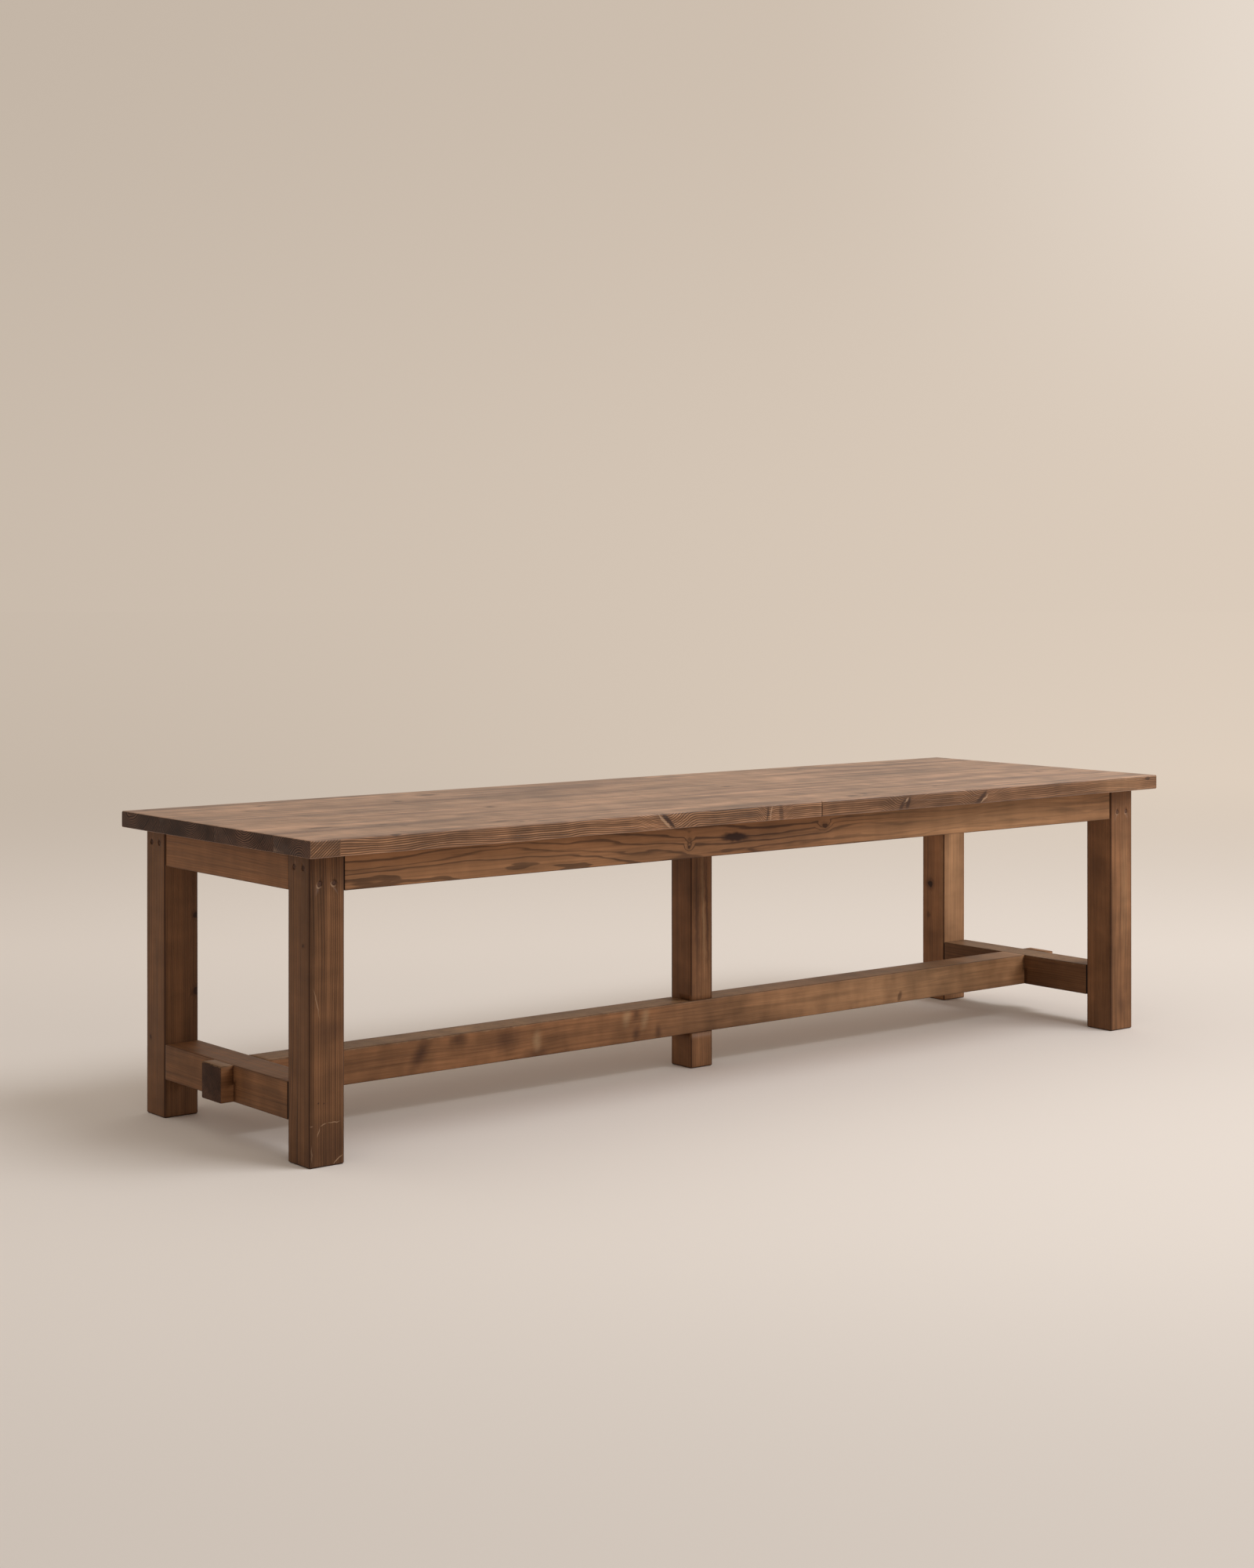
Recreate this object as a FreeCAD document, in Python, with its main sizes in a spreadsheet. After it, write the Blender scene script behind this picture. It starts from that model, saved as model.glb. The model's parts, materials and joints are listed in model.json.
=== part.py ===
import FreeCAD, Part
import math
import os
import re
import Sketcher

# A farmhouse table in millimetres: +X runs along it, +Y to its back and +Z up.
# The origin is on the floor, under the middle of the top.

os.makedirs("parts", exist_ok=True)
doc = FreeCAD.newDocument("farmhouse_table")

# Driving sizes
driving_sizes = {
    # The whole table
    "table_length": 3000,
    "table_height": 775,
    "end_overhang": 38,
    "side_overhang": 66,
    # Top boards, with the front board in two lengths that meet at the seam
    "top_thickness": 42,
    "back_board_width": 205,
    "inner_board_width": 280,
    "front_board_width": 165,
    "seam_offset": 109,
    "board_easing": 3,
    # Loose tongues between the boards and across the seam
    "tongue_thickness": 12,
    "tongue_width": 30,
    "tongue_stop": 60,
    "splice_stop": 35,
    # Corner legs
    "leg_side": 96,
    "leg_easing": 2.5,
    "foot_chamfer": 4,
    # Aprons, whose end tenons pass above the long tenons inside the legs
    "apron_height": 90,
    "apron_thickness": 38,
    "apron_setback": 3,
    "apron_easing": 2,
    "tenon_thickness": 16,
    "tenon_length": 84,
    "tenon_shoulder": 4,
    "long_tenon_height": 34,
    "tenon_gap": 4,
    "end_tenon_height": 32,
    # Pegs, cut eight-sided and driven through a leg's outer wall and the tenon behind it
    "peg_diameter": 12,
    "peg_spread": 40,
    "peg_recess": 0.8,
    "peg_point": 2,
    # Stretchers
    "stretcher_height": 90,
    "stretcher_rise": 100,
    "stretcher_easing": 2,
    "stretcher_tenon_height": 60,
    "stretcher_tenon_thickness": 32,
    "stretcher_tenon_length": 60,
    "long_stretcher_thickness": 94,
    "stretcher_protrusion": 36,
    # Centre leg and the bearer that its forked top straddles
    "centre_leg_width": 78,
    "centre_leg_depth": 88,
    "centre_leg_offset": 40,
    "bearer_thickness": 38,
    "bearer_tenon_length": 15,
    "bearer_tenon_height": 60,
    # Wooden buttons that hold the top down, and their screws
    "button_length": 45,
    "button_width": 38,
    "button_standoff": 3,
    "button_easing": 2,
    "button_tongue_length": 10,
    "button_tongue_thickness": 9,
    "groove_drop": 18,
    "groove_depth": 12,
    "groove_play": 2,
    "long_button_count": 4,
    "long_button_margin": 216,
    "end_button_count": 2,
    "end_button_margin": 163,
    "screw_diameter": 5,
    "screw_length": 42,
    "screw_point": 1.2,
    "screw_head_diameter": 10,
    "screw_head_height": 3,
    "screw_head_easing": 1.5,
    # Fits
    "joint_clearance": 0.2,
    "round_clearance": 0.1,
    "mortise_room": 2,
    "cut_overrun": 1,
}

# Sizes that follow from the driving ones
derived_sizes = {
    "table_width": "back_board_width + 2 * inner_board_width + front_board_width",
    "leg_height": "table_height - top_thickness",
    "leg_centre_x": "table_length / 2 - end_overhang - leg_side / 2",
    "leg_centre_y": "table_width / 2 - side_overhang - leg_side / 2",
    "apron_inset": "leg_side / 2 - apron_setback - apron_thickness / 2",
    "apron_low": "leg_height - apron_height",
    "long_apron_length": "2 * leg_centre_x - leg_side",
    "end_apron_length": "2 * leg_centre_y - leg_side",
    "long_tenon_low": "tenon_shoulder",
    "long_tenon_high": "long_tenon_low + long_tenon_height",
    "end_tenon_low": "long_tenon_high + tenon_gap",
    "end_tenon_high": "end_tenon_low + end_tenon_height",
    "long_peg_height": "(long_tenon_low + long_tenon_high) / 2",
    "end_peg_height": "(end_tenon_low + end_tenon_high) / 2",
    "peg_hole": "peg_diameter + round_clearance",
    "peg_length": "apron_setback + (apron_thickness + tenon_thickness) / 2 - peg_recess",
    "stretcher_middle": "stretcher_height / 2",
    "long_stretcher_length": "2 * leg_centre_x + leg_side + 2 * stretcher_protrusion",
    "bearer_length": "2 * (leg_centre_y + apron_inset) - apron_thickness",
    "button_height": "groove_drop + button_tongue_thickness",
    "groove_height": "button_tongue_thickness + groove_play",
    "screw_hole": "screw_diameter + round_clearance",
    "screw_reach": "screw_length - button_height",
    "screw_setback": "button_standoff + button_length / 2",
    "long_button_pitch": "(long_apron_length - 2 * long_button_margin) / (long_button_count - 1)",
    "end_button_pitch": "(end_apron_length - 2 * end_button_margin) / (end_button_count - 1)",
    "long_button_face": "leg_centre_y + apron_inset - apron_thickness / 2",
    "end_button_face": "leg_centre_x + apron_inset - apron_thickness / 2",
    "front_joint": "front_board_width - table_width / 2",
    "centre_joint": "front_joint + inner_board_width",
    "back_joint": "centre_joint + inner_board_width",
}

sheet = doc.addObject("Spreadsheet::Sheet", "sizes")
rows = [(name, str(number)) for name, number in driving_sizes.items()]
rows += [(name, "=" + formula) for name, formula in derived_sizes.items()]
for row, (name, content) in enumerate(rows, start=1):
    sheet.set("A%d" % row, name)
    sheet.set("B%d" % row, content)
    sheet.setAlias("B%d" % row, name)
doc.recompute()

UP = FreeCAD.Vector(0, 0, 1)
NEAR = 1e-6
bodies = []


# Formulas

def in_sheet(formula):
    """The formula with the sheet's name in front of each size in it."""
    return re.sub(r"[a-z_]+", lambda name: "sizes." + name.group(), formula)


def bind(item, prop, formula):
    item.setExpression(prop, in_sheet(formula))


def value(formula):
    return float(sheet.evalExpression(in_sheet(formula)))


# Sketches

def new_body(label, x="0", y="0", z="0", turn=0):
    """A sub-part whose origin stands at the three formulas, turned about +Z in degrees."""
    body = doc.addObject("PartDesign::Body", label)
    body.Label = label
    body.Placement = FreeCAD.Placement(FreeCAD.Vector(), FreeCAD.Rotation(UP, turn))
    for axis, formula in (("x", x), ("y", y), ("z", z)):
        bind(body, "Placement.Base." + axis, formula)
    bodies.append(body)
    return body


def origin_feature(body, role):
    return next(item for item in body.Origin.OriginFeatures if item.Role == role)


def new_sketch(body, name, plane, offset="0"):
    """A sketch on the body's XY, XZ or YZ plane, moved along the plane's normal."""
    sketch = body.newObject("Sketcher::SketchObject", name)
    sketch.AttachmentSupport = (origin_feature(body, plane + "_Plane"), [""])
    sketch.MapMode = "FlatFace"
    bind(sketch, ".AttachmentOffset.Base.z", offset)
    return sketch


def fix_point(sketch, geometry, point, across, up):
    """Tie one point of a sketch's geometry to two formulas."""
    for kind, formula in (("DistanceX", across), ("DistanceY", up)):
        number = value(formula)
        index = sketch.addConstraint(Sketcher.Constraint(kind, -1, 1, geometry, point, number))
        name = "%s_%d" % (kind, index)
        sketch.renameConstraint(index, name)
        bind(sketch, "Constraints." + name, formula)


def add_outline(sketch, corners):
    """A closed outline of straight lines through corners given as pairs of formulas."""
    spots = [FreeCAD.Vector(value(across), value(up), 0) for across, up in corners]
    count = len(spots)
    first = sketch.GeometryCount
    for i in range(count):
        sketch.addGeometry(Part.LineSegment(spots[i], spots[(i + 1) % count]), False)
    for i, (across, up) in enumerate(corners):
        before = first + (i - 1) % count
        sketch.addConstraint(Sketcher.Constraint("Coincident", before, 2, first + i, 1))
        fix_point(sketch, first + i, 1, across, up)


def add_rectangle(sketch, left, right, low, high):
    add_outline(sketch, [(left, low), (right, low), (right, high), (left, high)])


def add_centred(sketch, across, width, low, high):
    """A rectangle whose width is centred on a formula."""
    left = "%s - (%s) / 2" % (across, width)
    right = "%s + (%s) / 2" % (across, width)
    add_rectangle(sketch, left, right, low, high)


def add_circle(sketch, across, up, diameter):
    centre = FreeCAD.Vector(value(across), value(up), 0)
    circle = sketch.addGeometry(Part.Circle(centre, UP, value(diameter) / 2), False)
    fix_point(sketch, circle, 3, across, up)
    index = sketch.addConstraint(Sketcher.Constraint("Diameter", circle, value(diameter)))
    name = "Diameter_%d" % index
    sketch.renameConstraint(index, name)
    bind(sketch, "Constraints." + name, diameter)


def add_octagon(sketch, across, up, diameter):
    """An eight-sided outline whose corners lie on a circle of this diameter."""
    angles = [math.radians(22.5 + 45 * i) for i in range(8)]
    add_outline(sketch, [("%s + %.6f * %s / 2" % (across, math.cos(angle), diameter),
                          "%s + %.6f * %s / 2" % (up, math.sin(angle), diameter))
                         for angle in angles])


# Features

def add_pad(body, name, sketch, length, symmetric=False, along_normal=True):
    pad = body.newObject("PartDesign::Pad", name)
    pad.Profile = sketch
    pad.SideType = "Symmetric" if symmetric else "One side"
    pad.Reversed = not along_normal
    bind(pad, "Length", length)
    return pad


def add_pocket(body, name, sketch, depth, along_normal):
    """A blind cut from the sketch's plane, along its normal or against it."""
    pocket = body.newObject("PartDesign::Pocket", name)
    pocket.Profile = sketch
    pocket.Reversed = along_normal
    bind(pocket, "Length", depth)
    return pocket


def add_through(body, name, sketch):
    """A cut through the whole piece, both ways from the sketch's plane."""
    pocket = body.newObject("PartDesign::Pocket", name)
    pocket.Profile = sketch
    pocket.SideType = "Symmetric"
    pocket.Type = "ThroughAll"
    return pocket


def ease(body, name, base, size, chosen):
    """A chamfer on the edges of the base feature that the test chooses."""
    doc.recompute()
    edges = base.Shape.Edges
    chamfer = body.newObject("PartDesign::Chamfer", name)
    chamfer.Base = (base, ["Edge%d" % (i + 1) for i, edge in enumerate(edges) if chosen(edge)])
    bind(chamfer, "Size", size)
    return chamfer


def add_mirror(body, name, feature, plane):
    """The whole piece again, on the other side of one of the body's planes."""
    mirror = body.newObject("PartDesign::Mirrored", name)
    mirror.Originals = [feature]
    mirror.TransformMode = "Whole shape"
    mirror.MirrorPlane = (origin_feature(body, plane + "_Plane"), [""])
    body.Tip = mirror
    return mirror


def add_rows(body, name, feature, count_x, pitch_x, count_y="", pitch_y=""):
    """The whole piece repeated in rows along the body's X axis and, if asked, its Y axis."""
    rows = body.newObject("PartDesign::LinearPattern", name)
    rows.Originals = [feature]
    rows.TransformMode = "Whole shape"
    rows.Direction = (origin_feature(body, "X_Axis"), [""])
    bind(rows, "Length", "(%s - 1) * %s" % (count_x, pitch_x))
    bind(rows, "Occurrences", count_x)
    if count_y:
        rows.Direction2 = (origin_feature(body, "Y_Axis"), [""])
        bind(rows, "Length2", "(%s - 1) * %s" % (count_y, pitch_y))
        bind(rows, "Occurrences2", count_y)
    body.Tip = rows
    return rows


# Edge tests

def same(a, b):
    return abs(a - b) < NEAR


def lies_at(edge, axis, place):
    """True if every corner of the edge has this coordinate."""
    return all(same(getattr(vertex.Point, axis), place) for vertex in edge.Vertexes)


def runs_along(edge, axis):
    """True for an edge whose ends differ along this axis alone."""
    ends = [vertex.Point for vertex in edge.Vertexes]
    return all(same(getattr(ends[0], other), getattr(ends[-1], other)) != (other == axis)
               for other in "xyz")


def rises(edge):
    """True if the edge's ends stand at different heights."""
    return not same(edge.Vertexes[0].Point.z, edge.Vertexes[-1].Point.z)


# Top boards

def screw_places():
    """Where each button's screw enters the top, as pairs of formulas."""
    places = []
    for side in (-1, 1):
        for i in range(round(value("long_button_count"))):
            along = "(%d - (long_button_count - 1) / 2) * long_button_pitch" % i
            places.append((along, "%d * (long_button_face - screw_setback)" % side))
        for i in range(round(value("end_button_count"))):
            along = "(%d - (end_button_count - 1) / 2) * end_button_pitch" % i
            places.append(("%d * (end_button_face - screw_setback)" % side, along))
    return places


def make_board(label, left, right, front, back):
    """One board of the top, eased where it shows, grooved where it meets its neighbours."""
    body = new_body(label, z="leg_height")
    blank = new_sketch(body, label + "_blank", "XY")
    add_rectangle(blank, left, right, front, back)
    board = add_pad(body, label + "_board", blank, "top_thickness")

    table_sides = [("x", -value("table_length") / 2), ("x", value("table_length") / 2),
                   ("y", -value("table_width") / 2), ("y", value("table_width") / 2)]
    board_sides = [("x", value(left)), ("x", value(right)), ("y", value(front)), ("y", value(back))]

    def is_outer(side):
        return any(side[0] == axis and same(side[1], place) for axis, place in table_sides)

    outer_sides = [side for side in board_sides if is_outer(side)]
    mating_sides = [side for side in board_sides if not is_outer(side)]

    def shows(edge):
        on_outer = any(lies_at(edge, axis, place) for axis, place in outer_sides)
        return on_outer and not any(lies_at(edge, axis, place) for axis, place in mating_sides)

    ease(body, label + "_easing", board, "board_easing", shows)

    groove_left = "%s + tongue_stop" % left if is_outer(board_sides[0]) else "%s - cut_overrun" % left
    groove_right = "%s - tongue_stop" % right if is_outer(board_sides[1]) else "%s + cut_overrun" % right
    groove_half = "(tongue_thickness / 2 + joint_clearance)"
    for name, side, place, inward in (("front", board_sides[2], front, False),
                                      ("back", board_sides[3], back, True)):
        if is_outer(side):
            continue
        groove = new_sketch(body, "%s_%s_groove" % (label, name), "XZ", "-(%s)" % place)
        add_rectangle(groove, groove_left, groove_right, "top_thickness / 2 - " + groove_half,
                      "top_thickness / 2 + " + groove_half)
        add_pocket(body, "%s_%s_grooved" % (label, name), groove,
                   "tongue_width / 2 + joint_clearance", inward)

    for name, side, inward in (("left", board_sides[0], True), ("right", board_sides[1], False)):
        if is_outer(side):
            continue
        groove = new_sketch(body, "%s_%s_groove" % (label, name), "YZ", "seam_offset")
        add_rectangle(groove, "%s + splice_stop" % front, "%s - splice_stop" % back,
                      "top_thickness / 2 - " + groove_half, "top_thickness / 2 + " + groove_half)
        add_pocket(body, "%s_%s_grooved" % (label, name), groove,
                   "tongue_width / 2 + joint_clearance", inward)

    pilots = [(x, y) for x, y in screw_places()
              if value(left) < value(x) < value(right) and value(front) < value(y) < value(back)]
    if pilots:
        holes = new_sketch(body, label + "_pilot_holes", "XY")
        for x, y in pilots:
            add_circle(holes, x, y, "screw_hole")
        add_pocket(body, label + "_drilled", holes, "screw_reach + mortise_room", True)


def make_tongue(label, joint):
    """A loose tongue that stops short of both ends of the top."""
    body = new_body(label, y=joint, z="leg_height + (top_thickness - tongue_thickness) / 2")
    outline = new_sketch(body, label + "_outline", "XY")
    add_rectangle(outline, "tongue_stop + joint_clearance - table_length / 2",
                  "table_length / 2 - tongue_stop - joint_clearance",
                  "-tongue_width / 2", "tongue_width / 2")
    add_pad(body, label + "_strip", outline, "tongue_thickness")


def make_splice_tongue(label):
    """The loose tongue across the seam of the front board."""
    body = new_body(label, x="seam_offset", z="leg_height + (top_thickness - tongue_thickness) / 2")
    outline = new_sketch(body, label + "_outline", "XY")
    add_rectangle(outline, "-tongue_width / 2", "tongue_width / 2",
                  "splice_stop + joint_clearance - table_width / 2",
                  "front_joint - splice_stop - joint_clearance")
    add_pad(body, label + "_strip", outline, "tongue_thickness")


# Legs

def shape_foot(body, label, blank):
    """Chamfer the foot and ease the four corners of a leg."""
    foot = ease(body, label + "_foot", blank, "foot_chamfer", lambda edge: lies_at(edge, "z", 0))
    ease(body, label + "_easing", foot, "leg_easing", rises)


def make_corner_leg(label, inward_x, inward_y):
    """A corner leg: inward_x and inward_y are 1 or -1, towards the middle of the table."""
    body = new_body(label, x="%d * leg_centre_x" % -inward_x, y="%d * leg_centre_y" % -inward_y)
    outline = new_sketch(body, label + "_outline", "XY")
    add_rectangle(outline, "-leg_side / 2", "leg_side / 2", "-leg_side / 2", "leg_side / 2")
    shape_foot(body, label, add_pad(body, label + "_post", outline, "leg_height"))

    inner_x = "%d * leg_side / 2" % inward_x
    inner_y = "%d * leg_side / 2" % inward_y
    mortise_width = "tenon_thickness + 2 * joint_clearance"
    mortise_depth = "tenon_length + mortise_room"

    mortise = new_sketch(body, label + "_long_mortise", "YZ", inner_x)
    add_centred(mortise, "%d * apron_inset" % -inward_y, mortise_width,
                "apron_low + long_tenon_low - joint_clearance",
                "apron_low + long_tenon_high + joint_clearance")
    add_pocket(body, label + "_long_mortised", mortise, mortise_depth, inward_x < 0)

    mortise = new_sketch(body, label + "_end_mortise", "XZ", "-(%s)" % inner_y)
    add_centred(mortise, "%d * apron_inset" % -inward_x, mortise_width,
                "apron_low + end_tenon_low - joint_clearance",
                "apron_low + end_tenon_high + joint_clearance")
    add_pocket(body, label + "_end_mortised", mortise, mortise_depth, inward_y > 0)

    mortise = new_sketch(body, label + "_stretcher_mortise", "XZ", "-(%s)" % inner_y)
    middle = "stretcher_rise + stretcher_middle"
    reach = "(stretcher_tenon_height / 2 + joint_clearance)"
    add_centred(mortise, "0", "stretcher_tenon_thickness + 2 * joint_clearance",
                "%s - %s" % (middle, reach), "%s + %s" % (middle, reach))
    add_pocket(body, label + "_stretcher_mortised", mortise,
               "stretcher_tenon_length + mortise_room", inward_y > 0)

    hole_depth = "apron_setback + apron_thickness / 2"
    holes = new_sketch(body, label + "_long_peg_holes", "XZ", inner_y)
    for side in (-1, 1):
        add_circle(holes, "%d * peg_spread / 2" % side, "apron_low + long_peg_height", "peg_hole")
    add_pocket(body, label + "_long_bored", holes, hole_depth, inward_y < 0)

    holes = new_sketch(body, label + "_end_peg_holes", "YZ", "-(%s)" % inner_x)
    for side in (-1, 1):
        add_circle(holes, "%d * peg_spread / 2" % side, "apron_low + end_peg_height", "peg_hole")
    add_pocket(body, label + "_end_bored", holes, hole_depth, inward_x > 0)


def make_centre_leg(label):
    """The middle leg: forked over the bearer, lapped behind the long stretcher."""
    body = new_body(label, x="centre_leg_offset")
    outline = new_sketch(body, label + "_outline", "XY")
    add_rectangle(outline, "-centre_leg_width / 2", "centre_leg_width / 2",
                  "-centre_leg_depth / 2", "centre_leg_depth / 2")
    shape_foot(body, label, add_pad(body, label + "_post", outline, "leg_height"))

    fork = new_sketch(body, label + "_fork", "XZ")
    add_centred(fork, "0", "bearer_thickness + 2 * joint_clearance",
                "apron_low", "leg_height + cut_overrun")
    add_through(body, label + "_forked", fork)

    lap = new_sketch(body, label + "_lap", "YZ")
    add_rectangle(lap, "-centre_leg_depth / 2 - cut_overrun", "0",
                  "stretcher_rise - joint_clearance",
                  "stretcher_rise + stretcher_height + joint_clearance")
    add_through(body, label + "_lapped", lap)

    hole = new_sketch(body, label + "_peg_hole", "YZ")
    add_circle(hole, "0", "apron_low + apron_height / 2", "peg_hole")
    add_through(body, label + "_bored", hole)


# Aprons and bearer

def add_tenons(body, label, length, reach, low, high, thickness):
    """A tenon on each end of a rail that lies along the body's X axis."""
    tenons = new_sketch(body, label + "_tenon_outlines", "XZ")
    shoulder = "%s / 2" % length
    tip = "(%s + %s)" % (shoulder, reach)
    add_rectangle(tenons, shoulder, tip, low, high)
    add_rectangle(tenons, "-" + tip, "-" + shoulder, low, high)
    add_pad(body, label + "_tenons", tenons, thickness, symmetric=True)


def make_apron(label, length, low, high, peg_height, distance, turn, bearer_side):
    """An apron: its outer face looks along the body's -Y, its button groove along +Y."""
    body = new_body(label, x=distance[0], y=distance[1], z="apron_low", turn=turn)
    outline = new_sketch(body, label + "_outline", "XZ")
    add_centred(outline, "0", length, "0", "apron_height")
    rail = add_pad(body, label + "_rail", outline, "apron_thickness", symmetric=True)
    ease(body, label + "_easing", rail, "apron_easing",
         lambda edge: runs_along(edge, "x") and lies_at(edge, "z", 0))
    add_tenons(body, label, length, "tenon_length", low, high, "tenon_thickness")

    groove = new_sketch(body, label + "_groove", "XZ", "-apron_thickness / 2")
    add_centred(groove, "0", length, "apron_height - groove_drop - groove_height",
                "apron_height - groove_drop")
    add_pocket(body, label + "_grooved", groove, "groove_depth", True)

    holes = new_sketch(body, label + "_peg_holes", "XZ")
    for end in (-1, 1):
        for side in (-1, 1):
            along = "%d * (%s + leg_side) / 2 + %d * peg_spread / 2" % (end, length, side)
            add_circle(holes, along, peg_height, "peg_hole")
    add_through(body, label + "_bored", holes)

    if bearer_side:
        mortise = new_sketch(body, label + "_bearer_mortise", "XZ", "-apron_thickness / 2")
        reach = "(bearer_tenon_height / 2 + joint_clearance)"
        add_centred(mortise, "%d * centre_leg_offset" % bearer_side,
                    "tenon_thickness + 2 * joint_clearance",
                    "apron_height / 2 - " + reach, "apron_height / 2 + " + reach)
        add_pocket(body, label + "_mortised", mortise, "bearer_tenon_length + mortise_room", True)


def make_bearer(label):
    """The cross rail between the long aprons that carries the top at its middle."""
    body = new_body(label, x="centre_leg_offset", z="apron_low", turn=90)
    outline = new_sketch(body, label + "_outline", "XZ")
    add_centred(outline, "0", "bearer_length", "0", "apron_height")
    add_pad(body, label + "_rail", outline, "bearer_thickness", symmetric=True)
    add_tenons(body, label, "bearer_length", "bearer_tenon_length",
               "(apron_height - bearer_tenon_height) / 2",
               "(apron_height + bearer_tenon_height) / 2", "tenon_thickness")
    hole = new_sketch(body, label + "_peg_hole", "XZ")
    add_circle(hole, "0", "apron_height / 2", "peg_hole")
    add_through(body, label + "_bored", hole)


# Stretchers

def make_end_stretcher(label, side):
    """A stretcher between two corner legs, notched below to sit over the long one."""
    body = new_body(label, x="%d * leg_centre_x" % side, z="stretcher_rise", turn=90)
    outline = new_sketch(body, label + "_outline", "XZ")
    add_centred(outline, "0", "end_apron_length", "0", "stretcher_height")
    rail = add_pad(body, label + "_rail", outline, "leg_side", symmetric=True)
    ease(body, label + "_easing", rail, "stretcher_easing", lambda edge: runs_along(edge, "x"))
    add_tenons(body, label, "end_apron_length", "stretcher_tenon_length",
               "stretcher_middle - stretcher_tenon_height / 2",
               "stretcher_middle + stretcher_tenon_height / 2", "stretcher_tenon_thickness")
    lap = new_sketch(body, label + "_lap", "XZ")
    add_centred(lap, "0", "long_stretcher_thickness + 2 * joint_clearance",
                "-cut_overrun", "stretcher_middle")
    add_through(body, label + "_lapped", lap)


def make_long_stretcher(label):
    """The stretcher on the centre line: notched above at its ends, behind at the centre leg."""
    body = new_body(label, z="stretcher_rise")
    outline = new_sketch(body, label + "_outline", "XZ")
    add_centred(outline, "0", "long_stretcher_length", "0", "stretcher_height")
    rail = add_pad(body, label + "_rail", outline, "long_stretcher_thickness", symmetric=True)
    ease(body, label + "_easing", rail, "stretcher_easing", lambda edge: True)
    laps = new_sketch(body, label + "_end_laps", "XZ")
    for side in (-1, 1):
        add_centred(laps, "%d * leg_centre_x" % side, "leg_side + 2 * joint_clearance",
                    "stretcher_middle", "stretcher_height + cut_overrun")
    add_through(body, label + "_end_lapped", laps)
    lap = new_sketch(body, label + "_centre_lap", "XY")
    add_centred(lap, "centre_leg_offset", "centre_leg_width + 2 * joint_clearance",
                "0", "long_stretcher_thickness / 2 + cut_overrun")
    add_through(body, label + "_centre_lapped", lap)


# Pegs

def make_apron_pegs(label, face, centre, height, turn):
    """The pegs of two opposite aprons, driven in along the body's Y from both faces."""
    body = new_body(label, z="apron_low", turn=turn)
    ends = new_sketch(body, label + "_ends", "XZ", "%s - peg_recess" % face)
    for end in (-1, 1):
        for side in (-1, 1):
            along = "%d * %s + %d * peg_spread / 2" % (end, centre, side)
            add_octagon(ends, along, height, "peg_diameter")
    pegs = add_pad(body, label + "_pegs", ends, "peg_length", along_normal=False)
    tip = value("peg_recess + peg_length - (%s)" % face)
    points = ease(body, label + "_points", pegs, "peg_point", lambda edge: lies_at(edge, "y", tip))
    add_mirror(body, label + "_other_side", points, "XZ")


def make_centre_leg_peg(label):
    """The peg through the centre leg's fork and the bearer."""
    body = new_body(label, x="centre_leg_offset", z="apron_low + apron_height / 2")
    end = new_sketch(body, label + "_end", "YZ")
    add_octagon(end, "0", "0", "peg_diameter")
    add_pad(body, label + "_peg", end, "centre_leg_width - 2 * peg_recess", symmetric=True)


# Buttons and screws

def make_buttons(label, face, count, pitch, turn):
    """Buttons along two opposite aprons: each tongue hooks up into the apron's groove."""
    body = new_body(label, z="leg_height", turn=turn)
    first = "-(%s - 1) / 2 * %s" % (count, pitch)
    inner = "(button_standoff - %s)" % face
    far = "(%s + button_length)" % inner
    profile = new_sketch(body, label + "_profile", "YZ", first)
    add_outline(profile, [("-%s - button_tongue_length" % face, "-button_height"),
                          (far, "-button_height"),
                          (far, "0"),
                          (inner, "0"),
                          (inner, "-groove_drop"),
                          ("-%s - button_tongue_length" % face, "-groove_drop")])
    block = add_pad(body, label + "_block", profile, "button_width", symmetric=True)
    ease(body, label + "_easing", block, "button_easing",
         lambda edge: lies_at(edge, "y", value(far)) and not lies_at(edge, "z", 0))
    hole = new_sketch(body, label + "_hole", "XY")
    add_circle(hole, first, "screw_setback - %s" % face, "screw_hole")
    bored = add_through(body, label + "_bored", hole)
    row = add_rows(body, label + "_row", bored, count, pitch)
    add_mirror(body, label + "_other_side", row, "XZ")


def make_screws(label, count_x, pitch_x, count_y, pitch_y):
    """Screws up through the buttons, in a grid about the middle of the table."""
    body = new_body(label, x="-(%s - 1) / 2 * %s" % (count_x, pitch_x),
                    y="-(%s - 1) / 2 * %s" % (count_y, pitch_y), z="leg_height - button_height")
    shank_outline = new_sketch(body, label + "_shank_outline", "XY")
    add_octagon(shank_outline, "0", "0", "screw_diameter")
    shank = add_pad(body, label + "_shank", shank_outline, "screw_length")
    tip = value("screw_length")
    ease(body, label + "_point", shank, "screw_point", lambda edge: lies_at(edge, "z", tip))
    head_outline = new_sketch(body, label + "_head_outline", "XY")
    add_octagon(head_outline, "0", "0", "screw_head_diameter")
    head = add_pad(body, label + "_head", head_outline, "screw_head_height", along_normal=False)
    low = -value("screw_head_height")
    eased = ease(body, label + "_head_easing", head, "screw_head_easing",
                 lambda edge: lies_at(edge, "z", low))
    add_rows(body, label + "_grid", eased, count_x, pitch_x, count_y, pitch_y)


# The pieces

table_left = "-table_length / 2"
table_right = "table_length / 2"
make_board("top_board_back", table_left, table_right, "back_joint", "table_width / 2")
make_board("top_board_back_centre", table_left, table_right, "centre_joint", "back_joint")
make_board("top_board_front_centre", table_left, table_right, "front_joint", "centre_joint")
make_board("top_board_front_left", table_left, "seam_offset", "-table_width / 2", "front_joint")
make_board("top_board_front_right", "seam_offset", table_right, "-table_width / 2", "front_joint")
make_tongue("tongue_back", "back_joint")
make_tongue("tongue_centre", "centre_joint")
make_tongue("tongue_front", "front_joint")
make_splice_tongue("splice_tongue")

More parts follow.
